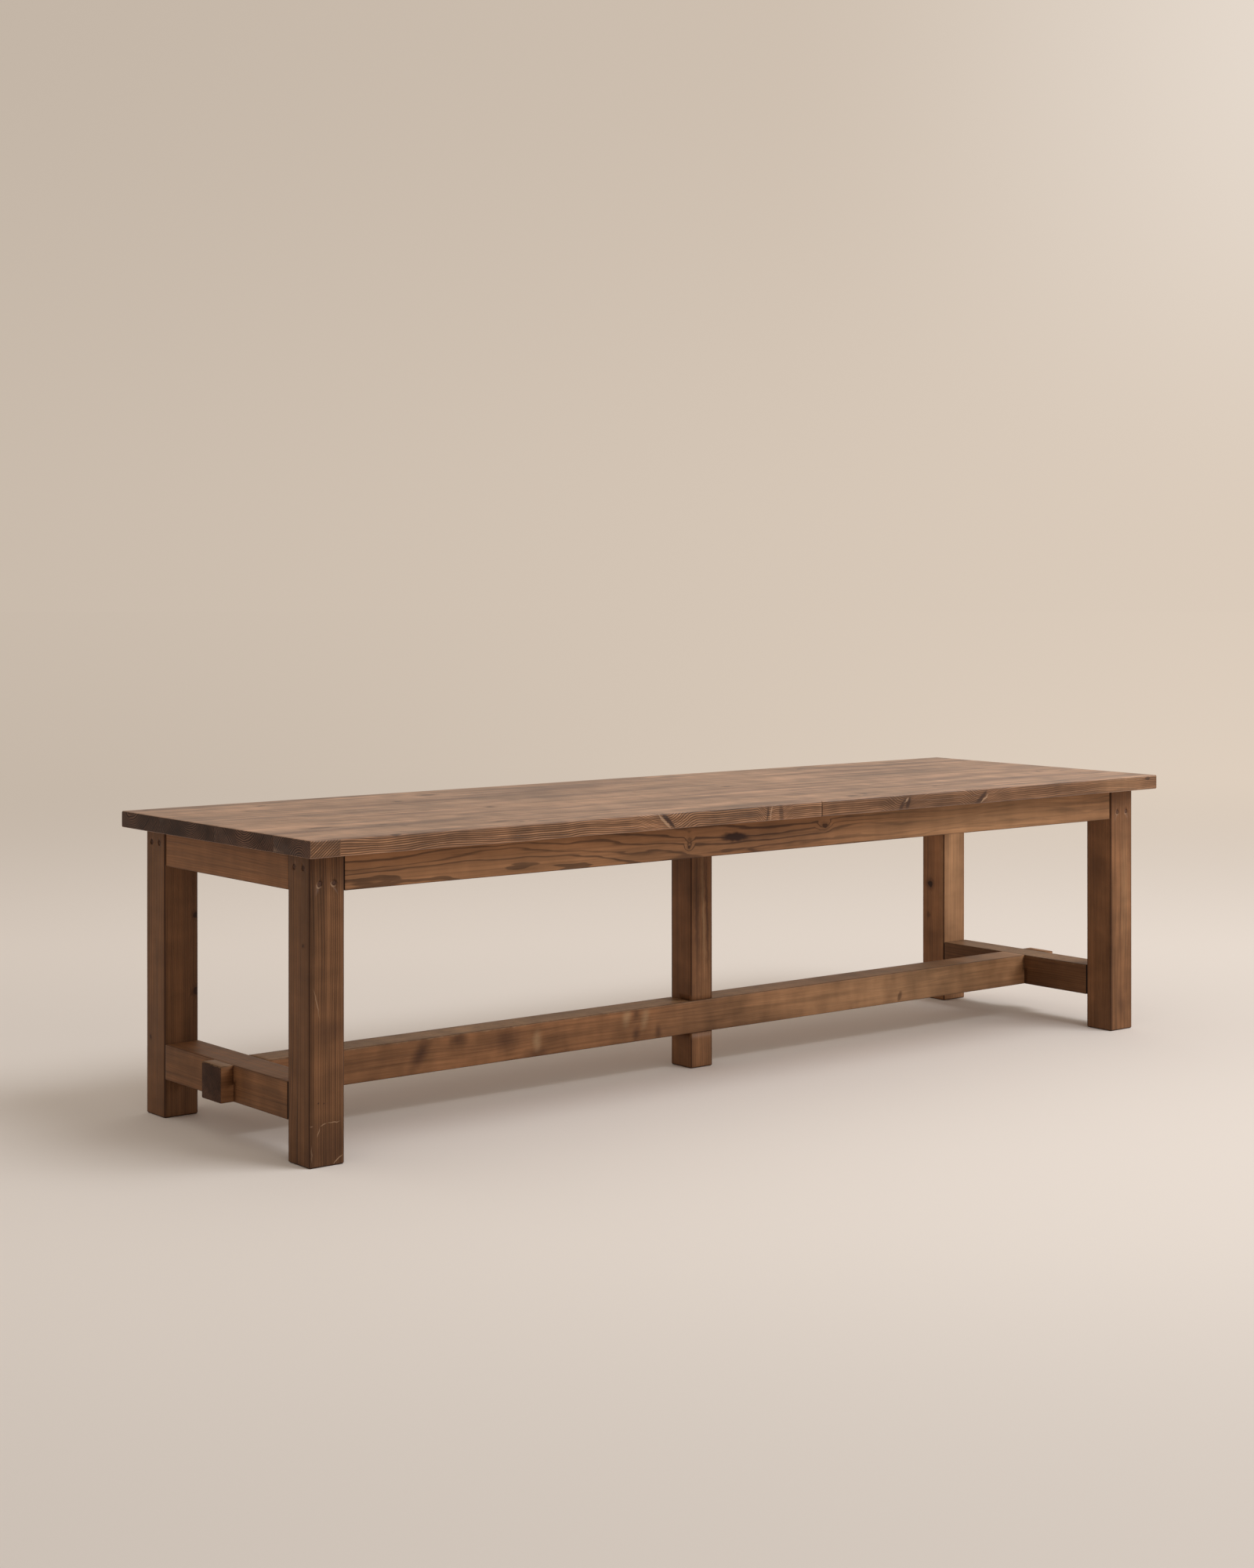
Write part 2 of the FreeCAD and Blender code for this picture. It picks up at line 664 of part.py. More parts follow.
make_corner_leg("leg_front_left", 1, 1)
make_corner_leg("leg_front_right", -1, 1)
make_corner_leg("leg_back_left", 1, -1)
make_corner_leg("leg_back_right", -1, -1)
make_centre_leg("centre_leg")

long_rail = ("long_apron_length", "long_tenon_low", "long_tenon_high", "long_peg_height")
end_rail = ("end_apron_length", "end_tenon_low", "end_tenon_high", "end_peg_height")
apron_x = "(leg_centre_x + apron_inset)"
apron_y = "(leg_centre_y + apron_inset)"
make_apron("apron_front", *long_rail, ("0", "-" + apron_y), 0, 1)
make_apron("apron_back", *long_rail, ("0", apron_y), 180, -1)
make_apron("apron_left", *end_rail, ("-" + apron_x, "0"), -90, 0)
make_apron("apron_right", *end_rail, (apron_x, "0"), 90, 0)
make_bearer("centre_bearer")

make_end_stretcher("stretcher_left", -1)
make_end_stretcher("stretcher_right", 1)
make_long_stretcher("long_stretcher")

long_face = "leg_centre_y + leg_side / 2"
end_face = "leg_centre_x + leg_side / 2"
make_apron_pegs("long_apron_pegs", long_face, "leg_centre_x", "long_peg_height", 0)
make_apron_pegs("end_apron_pegs", end_face, "leg_centre_y", "end_peg_height", 90)
make_centre_leg_peg("centre_leg_peg")

long_span = "2 * (long_button_face - screw_setback)"
end_span = "2 * (end_button_face - screw_setback)"
make_buttons("long_buttons", "long_button_face", "long_button_count", "long_button_pitch", 0)
make_buttons("end_buttons", "end_button_face", "end_button_count", "end_button_pitch", 90)
make_screws("long_button_screws", "long_button_count", "long_button_pitch", "2", long_span)
make_screws("end_button_screws", "2", end_span, "end_button_count", "end_button_pitch")

# Nothing is written unless every feature and every piece came out whole

doc.recompute()
for item in doc.Objects:
    if "Invalid" in item.State or "Error" in item.State:
        raise RuntimeError("%s failed: %s" % (item.Name, item.State))
    if item.TypeId == "PartDesign::Pocket" and item.Shape.Volume >= item.BaseFeature.Shape.Volume:
        raise RuntimeError("%s cuts nothing" % item.Name)
for body in bodies:
    if body.Shape.isNull() or not body.Shape.isValid():
        raise RuntimeError("%s has no valid shape" % body.Label)
for body in bodies:
    body.Shape.exportStep("parts/%s.step" % body.Label)
    print("%-24s %2d solids %12.1f mm3" % (body.Label, len(body.Shape.Solids), body.Shape.Volume))
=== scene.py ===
import json
import math
import random

import bmesh
import bpy
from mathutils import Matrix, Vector, noise


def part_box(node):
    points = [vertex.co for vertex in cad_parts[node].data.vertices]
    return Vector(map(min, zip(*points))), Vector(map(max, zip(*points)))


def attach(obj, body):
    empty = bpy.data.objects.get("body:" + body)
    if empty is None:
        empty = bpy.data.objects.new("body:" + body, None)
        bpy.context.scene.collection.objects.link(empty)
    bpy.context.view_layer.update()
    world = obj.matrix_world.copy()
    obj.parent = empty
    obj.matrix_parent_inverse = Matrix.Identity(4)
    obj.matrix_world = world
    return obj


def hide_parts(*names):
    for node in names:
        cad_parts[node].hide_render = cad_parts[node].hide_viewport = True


# A farmhouse table of stained pine, in metres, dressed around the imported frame

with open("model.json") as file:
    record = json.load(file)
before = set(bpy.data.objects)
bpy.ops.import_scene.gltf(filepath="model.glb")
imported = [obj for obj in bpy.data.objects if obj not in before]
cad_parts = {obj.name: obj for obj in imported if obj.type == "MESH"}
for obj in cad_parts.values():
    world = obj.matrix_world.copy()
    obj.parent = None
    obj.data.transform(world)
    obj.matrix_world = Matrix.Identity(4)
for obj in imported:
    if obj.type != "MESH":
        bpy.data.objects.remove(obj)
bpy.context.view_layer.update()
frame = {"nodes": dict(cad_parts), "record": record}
slot_of = {row["node"]: row["material_slot"] for row in frame["record"]["subparts"]}

# One seed for the unevenness of hand work, so that every run gives the same shapes
HAND_SEED = 12
noise.seed_set(HAND_SEED)


# Shader sums

class Shade:
    """A socket in a node tree. Sums on it add Math nodes."""

    def __init__(self, tree, socket=None):
        self.tree = tree
        self.socket = socket

    def node(self, kind, settings=None, inputs=None, out=0):
        """Adds a node: its settings first, then the values or links of its sockets."""
        made = self.tree.nodes.new(kind if "Node" in kind else "ShaderNode" + kind)
        for name, setting in (settings or {}).items():
            setattr(made, name, setting)
        for key, given in (inputs or {}).items():
            if isinstance(given, Shade):
                self.tree.links.new(given.socket, made.inputs[key])
            else:
                made.inputs[key].default_value = given
        return Shade(self.tree, made.outputs[out] if made.outputs else None)

    def twin(self, out):
        """Another output of the same node."""
        return Shade(self.tree, self.socket.node.outputs[out])

    def sum(self, operation, *values):
        return self.node("Math", {"operation": operation}, dict(enumerate(values)))

    def own(self, operation):
        """A sum on this value alone."""
        return self.sum(operation, self)

    def __add__(self, other):
        return self.sum("ADD", self, other)

    __radd__ = __add__

    def __sub__(self, other):
        return self.sum("SUBTRACT", self, other)

    def __rsub__(self, other):
        return self.sum("SUBTRACT", other, self)

    def __mul__(self, other):
        return self.sum("MULTIPLY", self, other)

    __rmul__ = __mul__

    def __truediv__(self, other):
        return self.sum("DIVIDE", self, other)

    def most(self, other):
        return self.sum("MAXIMUM", self, other)

    def fade(self, start, end, low=0.0, high=1.0):
        """Goes smoothly from low to high while this value goes from start to end."""
        return self.node("MapRange", {"interpolation_type": "SMOOTHSTEP"},
                         {0: self, 1: start, 2: end, 3: low, 4: high})

    def split(self):
        first = self.node("SeparateXYZ", inputs={0: self})
        return first, first.twin(1), first.twin(2)

    def join(self, *parts):
        return self.node("CombineXYZ", inputs=dict(enumerate(parts)))

    def clouds(self, scale=1.0, detail=2.0, out=0):
        """Noise over this vector."""
        return self.node("TexNoise", inputs={"Vector": self, "Scale": scale, "Detail": detail}, out=out)

    def scaled(self, amount):
        return self.node("VectorMath", {"operation": "SCALE"}, {0: self, "Scale": amount})

    def tint(self, first, second):
        """A colour between two, with this value as the second one's share."""
        return self.node("Mix", {"data_type": "RGBA"}, {0: self, 6: first, 7: second}, 2)

    def blend(self, other, mask):
        return mask.tint(self, other)

    def length(self):
        return self.node("VectorMath", {"operation": "LENGTH"}, {0: self}, "Value")

    def distance_to(self, centre, reach, turn=(0.0, 0.0, 0.0)):
        """Distance from a centre, counted in reaches along three turned axes."""
        local = self.node("Mapping", {"vector_type": "TEXTURE"},
                          {"Vector": self, "Location": centre, "Rotation": turn, "Scale": reach})
        return local.length()


def new_material(name):
    material = bpy.data.materials.new(name)
    material.use_nodes = True
    material.node_tree.nodes.clear()
    return material, Shade(material.node_tree)


def finish_material(sheet, base, roughness, height, bump_depth, specular=0.5, metallic=0.0):
    relief = sheet.node("Bump", inputs={"Strength": 1.0, "Distance": bump_depth, "Height": height})
    surface = sheet.node("BsdfPrincipled",
                         inputs={"Base Color": base, "Roughness": roughness, "Normal": relief,
                                 "Specular IOR Level": specular, "Metallic": metallic})
    sheet.node("OutputMaterial", inputs={"Surface": surface})


# Stained pine

FRAME_GROUND = (0.200, 0.093, 0.042, 1.0)
FRAME_LINE = (0.062, 0.026, 0.012, 1.0)
# The top's colours are lighter than the frame's, partly painted sheen standing in for the grazing
# reflection off the top
TOP_GROUND_WITH_SHEEN = (0.478, 0.282, 0.180, 1.0)
TOP_LINE_WITH_SHEEN = (0.170, 0.088, 0.055, 1.0)
TOP_STREAK = (0.125, 0.067, 0.049, 1.0)
# Pale tint along the top's arrises: a painted highlight
TOP_ARRIS_HIGHLIGHT = (0.420, 0.290, 0.220, 1.0)
EDGE_GROUND = (0.100, 0.046, 0.022, 1.0)
EDGE_LINE = (0.450, 0.232, 0.120, 1.0)
END_GROUND = (0.026, 0.012, 0.0085, 1.0)
END_LINE = (0.126, 0.067, 0.044, 1.0)
KNOT_HEART = (0.040, 0.016, 0.008, 1.0)
HAIRLINE = (0.050, 0.020, 0.010, 1.0)
# Dark marks: smudges and dark stain, and painted shade such as the shadow under the top's overhang
SMUDGE_AND_SHADE = (0.034, 0.014, 0.009, 1.0)
# Pale patches: in places the wood's paler figure, in others painted sheen on lit faces and on the
# stretchers' tops
PALE_FIGURE_AND_SHEEN = (0.318, 0.192, 0.102, 1.0)
SCRATCH = (0.420, 0.270, 0.170, 1.0)
# Near black at tight joints: partly the dark joint, partly painted shade in its groove
CREVICE = (0.012, 0.005, 0.003, 1.0)

# Noise patterns: how often they repeat in a metre, along the grain and across it
DRIFT = (0.9, 2.2)
RIPPLE = (3.0, 22.0)
FIBRE = (14.0, 480.0)
STREAK = (2.4, 80.0)
STAIN = (1.9, 7.5)
CURLY = (17.0, 10.0)
SWATH = (1.3, 13.0)
DASH = (3.0, 44.0)
THREAD = (0.9, 150.0)

# Where the patterns show, and their shares in the shade of the wood
SWATH_FADE = (0.44, 0.68)
DASH_FADE = (0.48, 0.74)
THREAD_FADE = (0.50, 0.74)
STREAK_DEPTH = 0.68
FIBRE_SHARE = 0.40
STREAK_SHARE = 0.85
STAIN_SHARE = 1.35
FIGURE_BASE = 0.30

# Year rings: where late wood starts in one, and how ripple and pace shift them
LATE_START = 0.25
RIPPLE_RINGS = 36.0
PACE_SCALE = 40.0
PACE_RINGS = 2.0
END_PACE = 1.2

# Marks: where each kind fades out, counted in its own reaches, and what colour it takes
MARK_EDGES = {
    "knot": (0.8, 1.2),
    "curl": (0.2, 1.5),
    "chip": (0.8, 1.1),
    "smudge": (0.5, 1.15),
    "scratch": (0.4, 1.0),
    "shade": (0.0, 1.4),
    "glow": (0.0, 1.4),
    "calm": (0.4, 1.3),
}
MARK_TINTS = (
    ("halo", KNOT_HEART),
    ("shade", SMUDGE_AND_SHADE),
    ("glow", PALE_FIGURE_AND_SHEEN),
    ("knot", KNOT_HEART),
    ("curl", KNOT_HEART),
    ("chip", SCRATCH),
    ("smudge", SMUDGE_AND_SHADE),
    ("scratch", SCRATCH),
)
RING_PUSH = {"knot": 1.8, "curl": 4.0}
PUSH_FADE = (0.3, 4.0)
CURL_DEPTH = 0.25
HALO_DEPTH = 0.45
HALO_FADE = (1.0, 2.6)
MARK_SHAKE = 0.009
SHAKE_SCALE = 55.0

# The long edge of the top: the spacing of its lines, and the figure at its left corner
EDGE_SPACING = 0.0052
EDGE_WAVE = 6.0
CORNER_FIGURE = -1.419
CORNER_BLUR = 0.002
CORNER_RISE = 0.80
CORNER_RUN = 0.60
CORNER_WAVE = 2.0
CORNER_BOLD = 0.15
CORNER_SHADE = 0.42

# Finish, and how squarely a face has to look along an axis to count as an edge or a cut end
EDGE_FACING = (0.6, 0.9)
END_FACING = (0.55, 0.9)
WOOD_RELIEF = 0.0004
TOP_SHEEN = 0.22
FRAME_SHEEN = 0.14


def ring_lines(phase, start, full=0.86, stop=0.90):
    """Late wood: it darkens slowly through each year's ring and stops short."""
    step = phase.own("FRACT")
    return step.fade(start, full) * step.fade(stop, 1.0, 1.0, 0.0)


def ring_luck(phase, seed):
    """A number for each ring, from 0 to 1."""
    return phase.node("TexWhiteNoise", {"noise_dimensions": "1D"}, {"W": phase.own("FLOOR") + seed})


def marked(place, marks):
    """How far knots and curls bend the lines, and a mask for each kind of mark."""
    bends = {}
    masks = {}
    for kind, centre, reach, turn, strength in marks:
        away = place.distance_to(centre, reach, turn)
        if kind in RING_PUSH:
            pushed = away.fade(*PUSH_FADE, strength * RING_PUSH[kind], 0.0)
            bends[kind] = bends[kind] + pushed if kind in bends else pushed
        depth = CURL_DEPTH * strength if kind == "curl" else min(1.0, strength)
        mask = away.fade(*MARK_EDGES[kind], depth, 0.0)
        masks[kind] = masks[kind].most(mask) if kind in masks else mask
        if kind == "knot":
            ring_round = away.fade(*HALO_FADE, HALO_DEPTH * depth, 0.0)
            masks["halo"] = masks["halo"].most(ring_round) if "halo" in masks else ring_round
    return bends, masks


def board_edge(sheet, place, bends, shade, seed, contrast):
    """The long edge of a top board: thin pale wavy lines, with a slanting figure at the left corner."""
    x, y, z = place.split()
    wave = sheet.join(x * 5.0 + seed, y * 3.0, z * 9.0).clouds(1.0, 1.6) - 0.5
    corner = x.fade(CORNER_FIGURE + CORNER_BLUR, CORNER_FIGURE - CORNER_BLUR)
    plain = z / EDGE_SPACING + wave * EDGE_WAVE
    slanting = (z * CORNER_RISE - x * CORNER_RUN) / EDGE_SPACING + wave * CORNER_WAVE
    phase = plain * (1 - corner) + slanting * corner
    for bend in bends.values():
        phase = phase + bend
    tint_share = sheet.join(x * 9.0 + seed, y, z * 90.0).clouds(1.0, 2.0)
    pale = ring_lines(phase, start=0.20, full=0.62, stop=0.66) * (ring_luck(phase, seed) * 0.5 + 0.4)
    pale = pale * tint_share.fade(0.3, 0.6, 0.4, 1.0)
    colour = (pale * contrast * (1 + corner * CORNER_BOLD)).tint(EDGE_GROUND, EDGE_LINE)
    return colour.scaled(shade * (1 - corner * CORNER_SHADE))


def stained_wood(name, grain, pith, ring, seed, marks=(), tone=1.0, contrast=0.5, wander=0.05, gloss=0.5,
                 top=False, arris_tint_depth=0.7, hair=0.35, mottle=0.5, edge=(1.0, 1.0), late_start=LATE_START):
    """Pine cut from a log: rings round a pith that runs along the grain, then stained and rubbed; a painted
    highlight runs along the top's arrises.
    """
    material, sheet = new_material(name)
    place = sheet.node("TexCoord", out="Object")
    x, y, z = place.split()
    along, across, rise = {"x": (x, y, z), "y": (y, x, z), "z": (z, x, y)}[grain]

    def pattern(often, detail, shift=seed, scale=1.0, out=0):
        """Noise that is drawn out along the grain."""
        drawn = sheet.join(along * often[0] + shift, across * often[1], rise * often[1])
        return drawn.clouds(scale, detail, out)

    drift_a, drift_b = pattern(DRIFT, 1.0, scale=1.5, out=1).split()[:2]
    from_pith_a = across - pith[0] + (drift_a - 0.5) * wander
    from_pith_b = rise - pith[1] + (drift_b - 0.5) * wander
    radius = (from_pith_a * from_pith_a + from_pith_b * from_pith_b).own("SQRT")
    ripple = pattern(RIPPLE, 3.0)
    pace = sheet.join(radius * PACE_SCALE, seed, 0.0).clouds(1.0, 1.0)
    phase = radius / ring + (ripple - 0.5) * (RIPPLE_RINGS * wander) + pace * PACE_RINGS

    shaken = place.clouds(SHAKE_SCALE, 1.0, 1).split()
    uneven = sheet.join(*[here + (shake - 0.5) * MARK_SHAKE for here, shake in zip((x, y, z), shaken)])
    bends, masks = marked(uneven, marks)
    if "knot" in bends:
        phase = phase + bends["knot"]
    late = ring_lines(phase, late_start) * (ring_luck(phase, seed) * 0.8 + 0.3)
    if "calm" in masks:
        late = late * (1.0 - masks["calm"])

    fibre = pattern(FIBRE, 2.0, shift=0.0)
    streak = pattern(STREAK, 3.0)
    stain = pattern(STAIN, 3.0, scale=1.2)
    curly = pattern(CURLY, 2.0)
    figure = fibre * FIBRE_SHARE + streak * STREAK_SHARE + stain * STAIN_SHARE - FIGURE_BASE
    figure = figure * ((curly - 0.5) * mottle + 1.0)
    shade = figure * tone

    ground, line = (TOP_GROUND_WITH_SHEEN, TOP_LINE_WITH_SHEEN) if top else (FRAME_GROUND, FRAME_LINE)
    colour = (late * contrast).tint(ground, line)
    if top:
        streaky = pattern(SWATH, 5.0).fade(*SWATH_FADE).most(pattern(DASH, 3.0).fade(*DASH_FADE))
        colour = colour.blend(TOP_STREAK, streaky * STREAK_DEPTH)
    else:
        colour = colour.blend(HAIRLINE, pattern(THREAD, 2.0).fade(*THREAD_FADE) * hair)
    colour = colour.scaled(shade)

    facing = sheet.node("NewGeometry", out="Normal").split()
    if top:
        on_edge = facing[1].own("ABSOLUTE").fade(*EDGE_FACING)
        edge_shade, edge_contrast = edge
        edge_colour = board_edge(sheet, place, bends, shade * edge_shade, seed, edge_contrast)
        colour = colour.blend(edge_colour, on_edge)
    cut_end = facing["xyz".index(grain)].own("ABSOLUTE").fade(*END_FACING)
    end_rings = ring_lines(phase * END_PACE, start=0.2) * stain.fade(0.34, 0.60, 0.5, 1.0)
    colour = colour.blend(end_rings.tint(END_GROUND, END_LINE).scaled(shade), cut_end)

    for kind, tint in MARK_TINTS:
        if kind not in masks:
            continue
        # Pale patches keep the grain under them, both paler figure and painted sheen
        if kind == "glow":
            tint = sheet.node("VectorMath", {"operation": "SCALE"}, {0: tint[:3], "Scale": figure})
        colour = colour.blend(tint, masks[kind])
    # Arrises: a pale painted highlight along the top's, a darker line along the frame's
    arris = sheet.node("Attribute", {"attribute_name": "arris"}, out="Fac")
    arris_tint_mask = arris * (1.0 - cut_end) * streak.fade(0.2, 0.7, 0.7, 1.0) * arris_tint_depth
    colour = colour.blend(TOP_ARRIS_HIGHLIGHT if top else SMUDGE_AND_SHADE, arris_tint_mask)
    # Tight joints darkened: partly the dark joint, partly painted shade in its groove
    crevice = sheet.node("Attribute", {"attribute_name": "crevice"}, out="Fac")
    colour = colour.blend(CREVICE, crevice)

    roughness = gloss + (streak - 0.5) * 0.16 + cut_end * 0.25 - late * 0.05
    height = late * 0.5 + fibre * 0.5 + streak * 0.4
    finish_material(sheet, colour, roughness, height, WOOD_RELIEF, TOP_SHEEN if top else FRAME_SHEEN)
    return material


# Objects and meshes

def new_object(name, data):
    made = bpy.data.objects.new(name, data)
    bpy.context.scene.collection.objects.link(made)
    return made


def new_mesh(name, work):
    """A mesh from finished bmesh work."""
    mesh = bpy.data.meshes.new(name)
    work.to_mesh(mesh)
    work.free()
    return mesh


def skin(work, rings):
    """Faces between neighbouring rings of points, and a cap at each end."""
    for before, after in zip(rings, rings[1:]):
        for i in range(len(before)):
            following = (i + 1) % len(before)
            work.faces.new((before[i], before[following], after[following], after[i]))
    work.faces.new(rings[0])
    work.faces.new(rings[-1])


def settle(piece):
    """Turns a piece and its modifiers into a plain mesh."""
    bpy.context.view_layer.update()
    graph = bpy.context.evaluated_depsgraph_get()
    mesh = bpy.data.meshes.new_from_object(piece.evaluated_get(graph))
    piece.modifiers.clear()
    piece.data = mesh


def cut_away(piece, cutter):
    cut = piece.modifiers.new("cut", "BOOLEAN")
    cut.operation = "DIFFERENCE"
    cut.solver = "EXACT"
    cut.object = cutter
    settle(piece)
    bpy.data.objects.remove(cutter)


def box_cutter(boxes):
    """One mesh that holds the boxes to be cut away."""
    work = bmesh.new()
    for low, high in boxes:
        corners = bmesh.ops.create_cube(work, size=1.0)["verts"]
        for vertex in corners:
            vertex.co = [(low[i] + high[i]) / 2 + vertex.co[i] * (high[i] - low[i]) for i in range(3)]
    return new_object("cutter", new_mesh("cutter", work))


def stand_for(piece, node):
    """Lets a piece ride on the table and stand for its CAD node."""
    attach(piece, "root")
    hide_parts(node)


def dress(piece, node, material):
    """Gives a piece its material and its place in the table."""
    piece.data.materials.clear()
    piece.data.materials.append(material)
    stand_for(piece, node)


# Eased timber

AXES = {"x": (0, 1, 2), "y": (1, 0, 2), "z": (2, 0, 1)}
EASED_ANGLES = (0.0, 30.0, 60.0, 90.0)
SHARPEST = 0.001
FLANK_TINT = 0.15
SUPPORT = 0.009
STEP = 0.034
ALL_SIDES = (1, 1, 1, 1)
TOP_SKIN = 0.0034
UNEVENNESS = 0.0004
SLOW_WAVES = 2.6
QUICK_WAVES = 9.0
QUICK_SHARE = 0.35
TIMBER_CREASE = math.radians(50)


def side_steps(start, end, before, after, count):
    """Places along a side, from just after one rounded corner to just before the next."""
    low = start + before + SUPPORT
    high = end - after - SUPPORT
    return [low + (high - low) * i / count for i in range(count + 1)]


def section(low_a, high_a, low_b, high_b, corners, count_a, count_b):
    """The outline of a timber's cross-section, as places with how much of an arris each one is."""
    places = []
    turns = ((low_a, low_b, 180.0), (high_a, low_b, 270.0), (high_a, high_b, 0.0), (low_a, high_b, 90.0))
    for i, (a, b, first) in enumerate(turns):
        radius = corners[i]
        centre_a = a + radius * (1 if a == low_a else -1)
        centre_b = b + radius * (1 if b == low_b else -1)
        for angle in EASED_ANGLES:
            turn = math.radians(first + angle)
            # How much arris tint a place takes: it drives the top's painted highlight and the frame's dark
            # arris line
            tint_share = 1.0 if 0.0 < angle < 90.0 else FLANK_TINT
            tint_share = tint_share if radius > SHARPEST else 0.0
            places.append((centre_a + radius * math.cos(turn), centre_b + radius * math.sin(turn), tint_share))
        following = corners[(i + 1) % 4]
        on_a = i % 2 == 0
        start, end, count = (low_a, high_a, count_a) if on_a else (low_b, high_b, count_b)
        if i < 2:
            steps = side_steps(start, end, radius, following, count)
        else:
            steps = reversed(side_steps(start, end, following, radius, count))
        places += [(s, b, 0.0) if on_a else (a, s, 0.0) for s in steps]
    return places


def end_stations(start, inward, easing):
    """Stations round the arris of one end, from the end inwards: place, inset and arris tint share."""
    stations = []
    for angle in EASED_ANGLES:
        turn = math.radians(angle)
        tint_share = 1.0 if angle < 90.0 else 0.0
        inset = easing * (1 - math.sin(turn))
        stations.append((start + inward * easing * (1 - math.cos(turn)), inset, tint_share))
    return stations


def hand_finish(spot, amount):
    """A slow unevenness left by planing and sanding, the same wherever two timbers meet."""
    slow = noise.noise_vector(spot * SLOW_WAVES) * amount
    return slow + noise.noise_vector(spot * QUICK_WAVES) * (amount * QUICK_SHARE)


def eased_timber(name, low, high, grain, corners, ends, flags=(ALL_SIDES, ALL_SIDES), tight=(False, False),
                 amount=UNEVENNESS, reshape=None):
    """A squared timber with rounded arrises, whose corners are listed round its section.

    Flags say which sides each end rounds into, and tight which ends close against another timber.
    """
    u, a, b = AXES[grain]
    count_u, count_a, count_b = [max(1, round((high[axis] - low[axis]) / STEP)) for axis in (u, a, b)]
    work = bmesh.new()
    arris = work.verts.layers.float.new("arris")
    crevice = work.verts.layers.float.new("crevice")
    stations = end_stations(low[u], 1, ends[0])
    stations += [(s, 0.0, 0.0) for s in side_steps(low[u], high[u], ends[0], ends[1], count_u)]
    stations += reversed(end_stations(high[u], -1, ends[1]))
    rings = []
    for position, inset, end_tint_share in stations:
        last = position > (low[u] + high[u]) / 2
        sides = flags[last]
        places = section(low[a] + inset * sides[0], high[a] - inset * sides[1],
                         low[b] + inset * sides[2], high[b] - inset * sides[3], corners, count_a, count_b)
        ring = []
        for place_a, place_b, tint_share in places:
            spot = Vector((0, 0, 0))
            spot[u] = position
            spot[a] = place_a
            spot[b] = place_b
            spot = spot + hand_finish(spot, amount)
            if reshape:
                spot = reshape(spot)
            vertex = work.verts.new(spot)
            vertex[arris] = tint_share if tight[last] else max(tint_share, end_tint_share)
            flush = not sides[3] and place_b > high[b] - TOP_SKIN
            vertex[crevice] = end_tint_share if tight[last] and not flush else 0.0
            ring.append(vertex)
        rings.append(ring)
    skin(work, rings)
    bmesh.ops.recalc_face_normals(work, faces=work.faces)
    mesh = new_mesh(name, work)
    mesh.polygons.foreach_set("use_smooth", [True] * len(mesh.polygons))
    mesh.set_sharp_from_angle(angle=TIMBER_CREASE)
    return new_object(name, mesh)


# Camera, level, with its frame shifted as in the photograph

EYE = (-4.5582, -5.4619, 1.3991)
HEADING = -0.6741
LENS = 57.95
SENSOR = 36.0
RISE = -0.1365

camera_data = bpy.data.cameras.new("camera")
camera_data.lens = LENS
camera_data.sensor_width = SENSOR
camera_data.shift_y = RISE
camera = new_object("camera", camera_data)
camera.location = EYE
camera.rotation_euler = (math.radians(90), 0.0, HEADING)
bpy.context.scene.camera = camera
bpy.context.scene.view_settings.view_transform = "Standard"


# Studio

FLOOR_COLOUR = (0.815, 0.762, 0.725)
FLOOR_RADIUS = 80.0
FLOOR_SIDES = 96
FLOOR_ENDS = (3.0, 11.0)
LIGHT_POOL_CENTRE = (0.2, -0.6, 0.0)
BACKDROP_COLOUR = (0.650, 0.550, 0.455)
WHITER = (0.22, 0.28, 0.36)
AMBIENT = (1.0, 0.895, 0.775, 1.0)
AMBIENT_LEVEL = 0.56
KEY_COLOUR = (0.975, 1.0, 1.02)
RIGHTWARD = (0.78, -0.62)
AWAY = (0.62, 0.78)


def backdrop_colour(way):
    """The backdrop gets lighter towards the photograph's right, and whiter at its upper right."""
    x, y, z = way.split()
    # Painted light on the backdrop: lighter to the right, and a lit patch at the upper right
    side = x * RIGHTWARD[0] + y * RIGHTWARD[1]
    upper = z.fade(0.0, 0.22)
    lit = upper * side.fade(0.05, 0.30)
    level = side.fade(-0.5, 0.5, 0.86, 1.14) * (1 - upper * 0.07)
    bands = {i: (lit * WHITER[i] + 1) * level * BACKDROP_COLOUR[i] for i in range(3)}
    return way.node("CombineColor", inputs=bands)


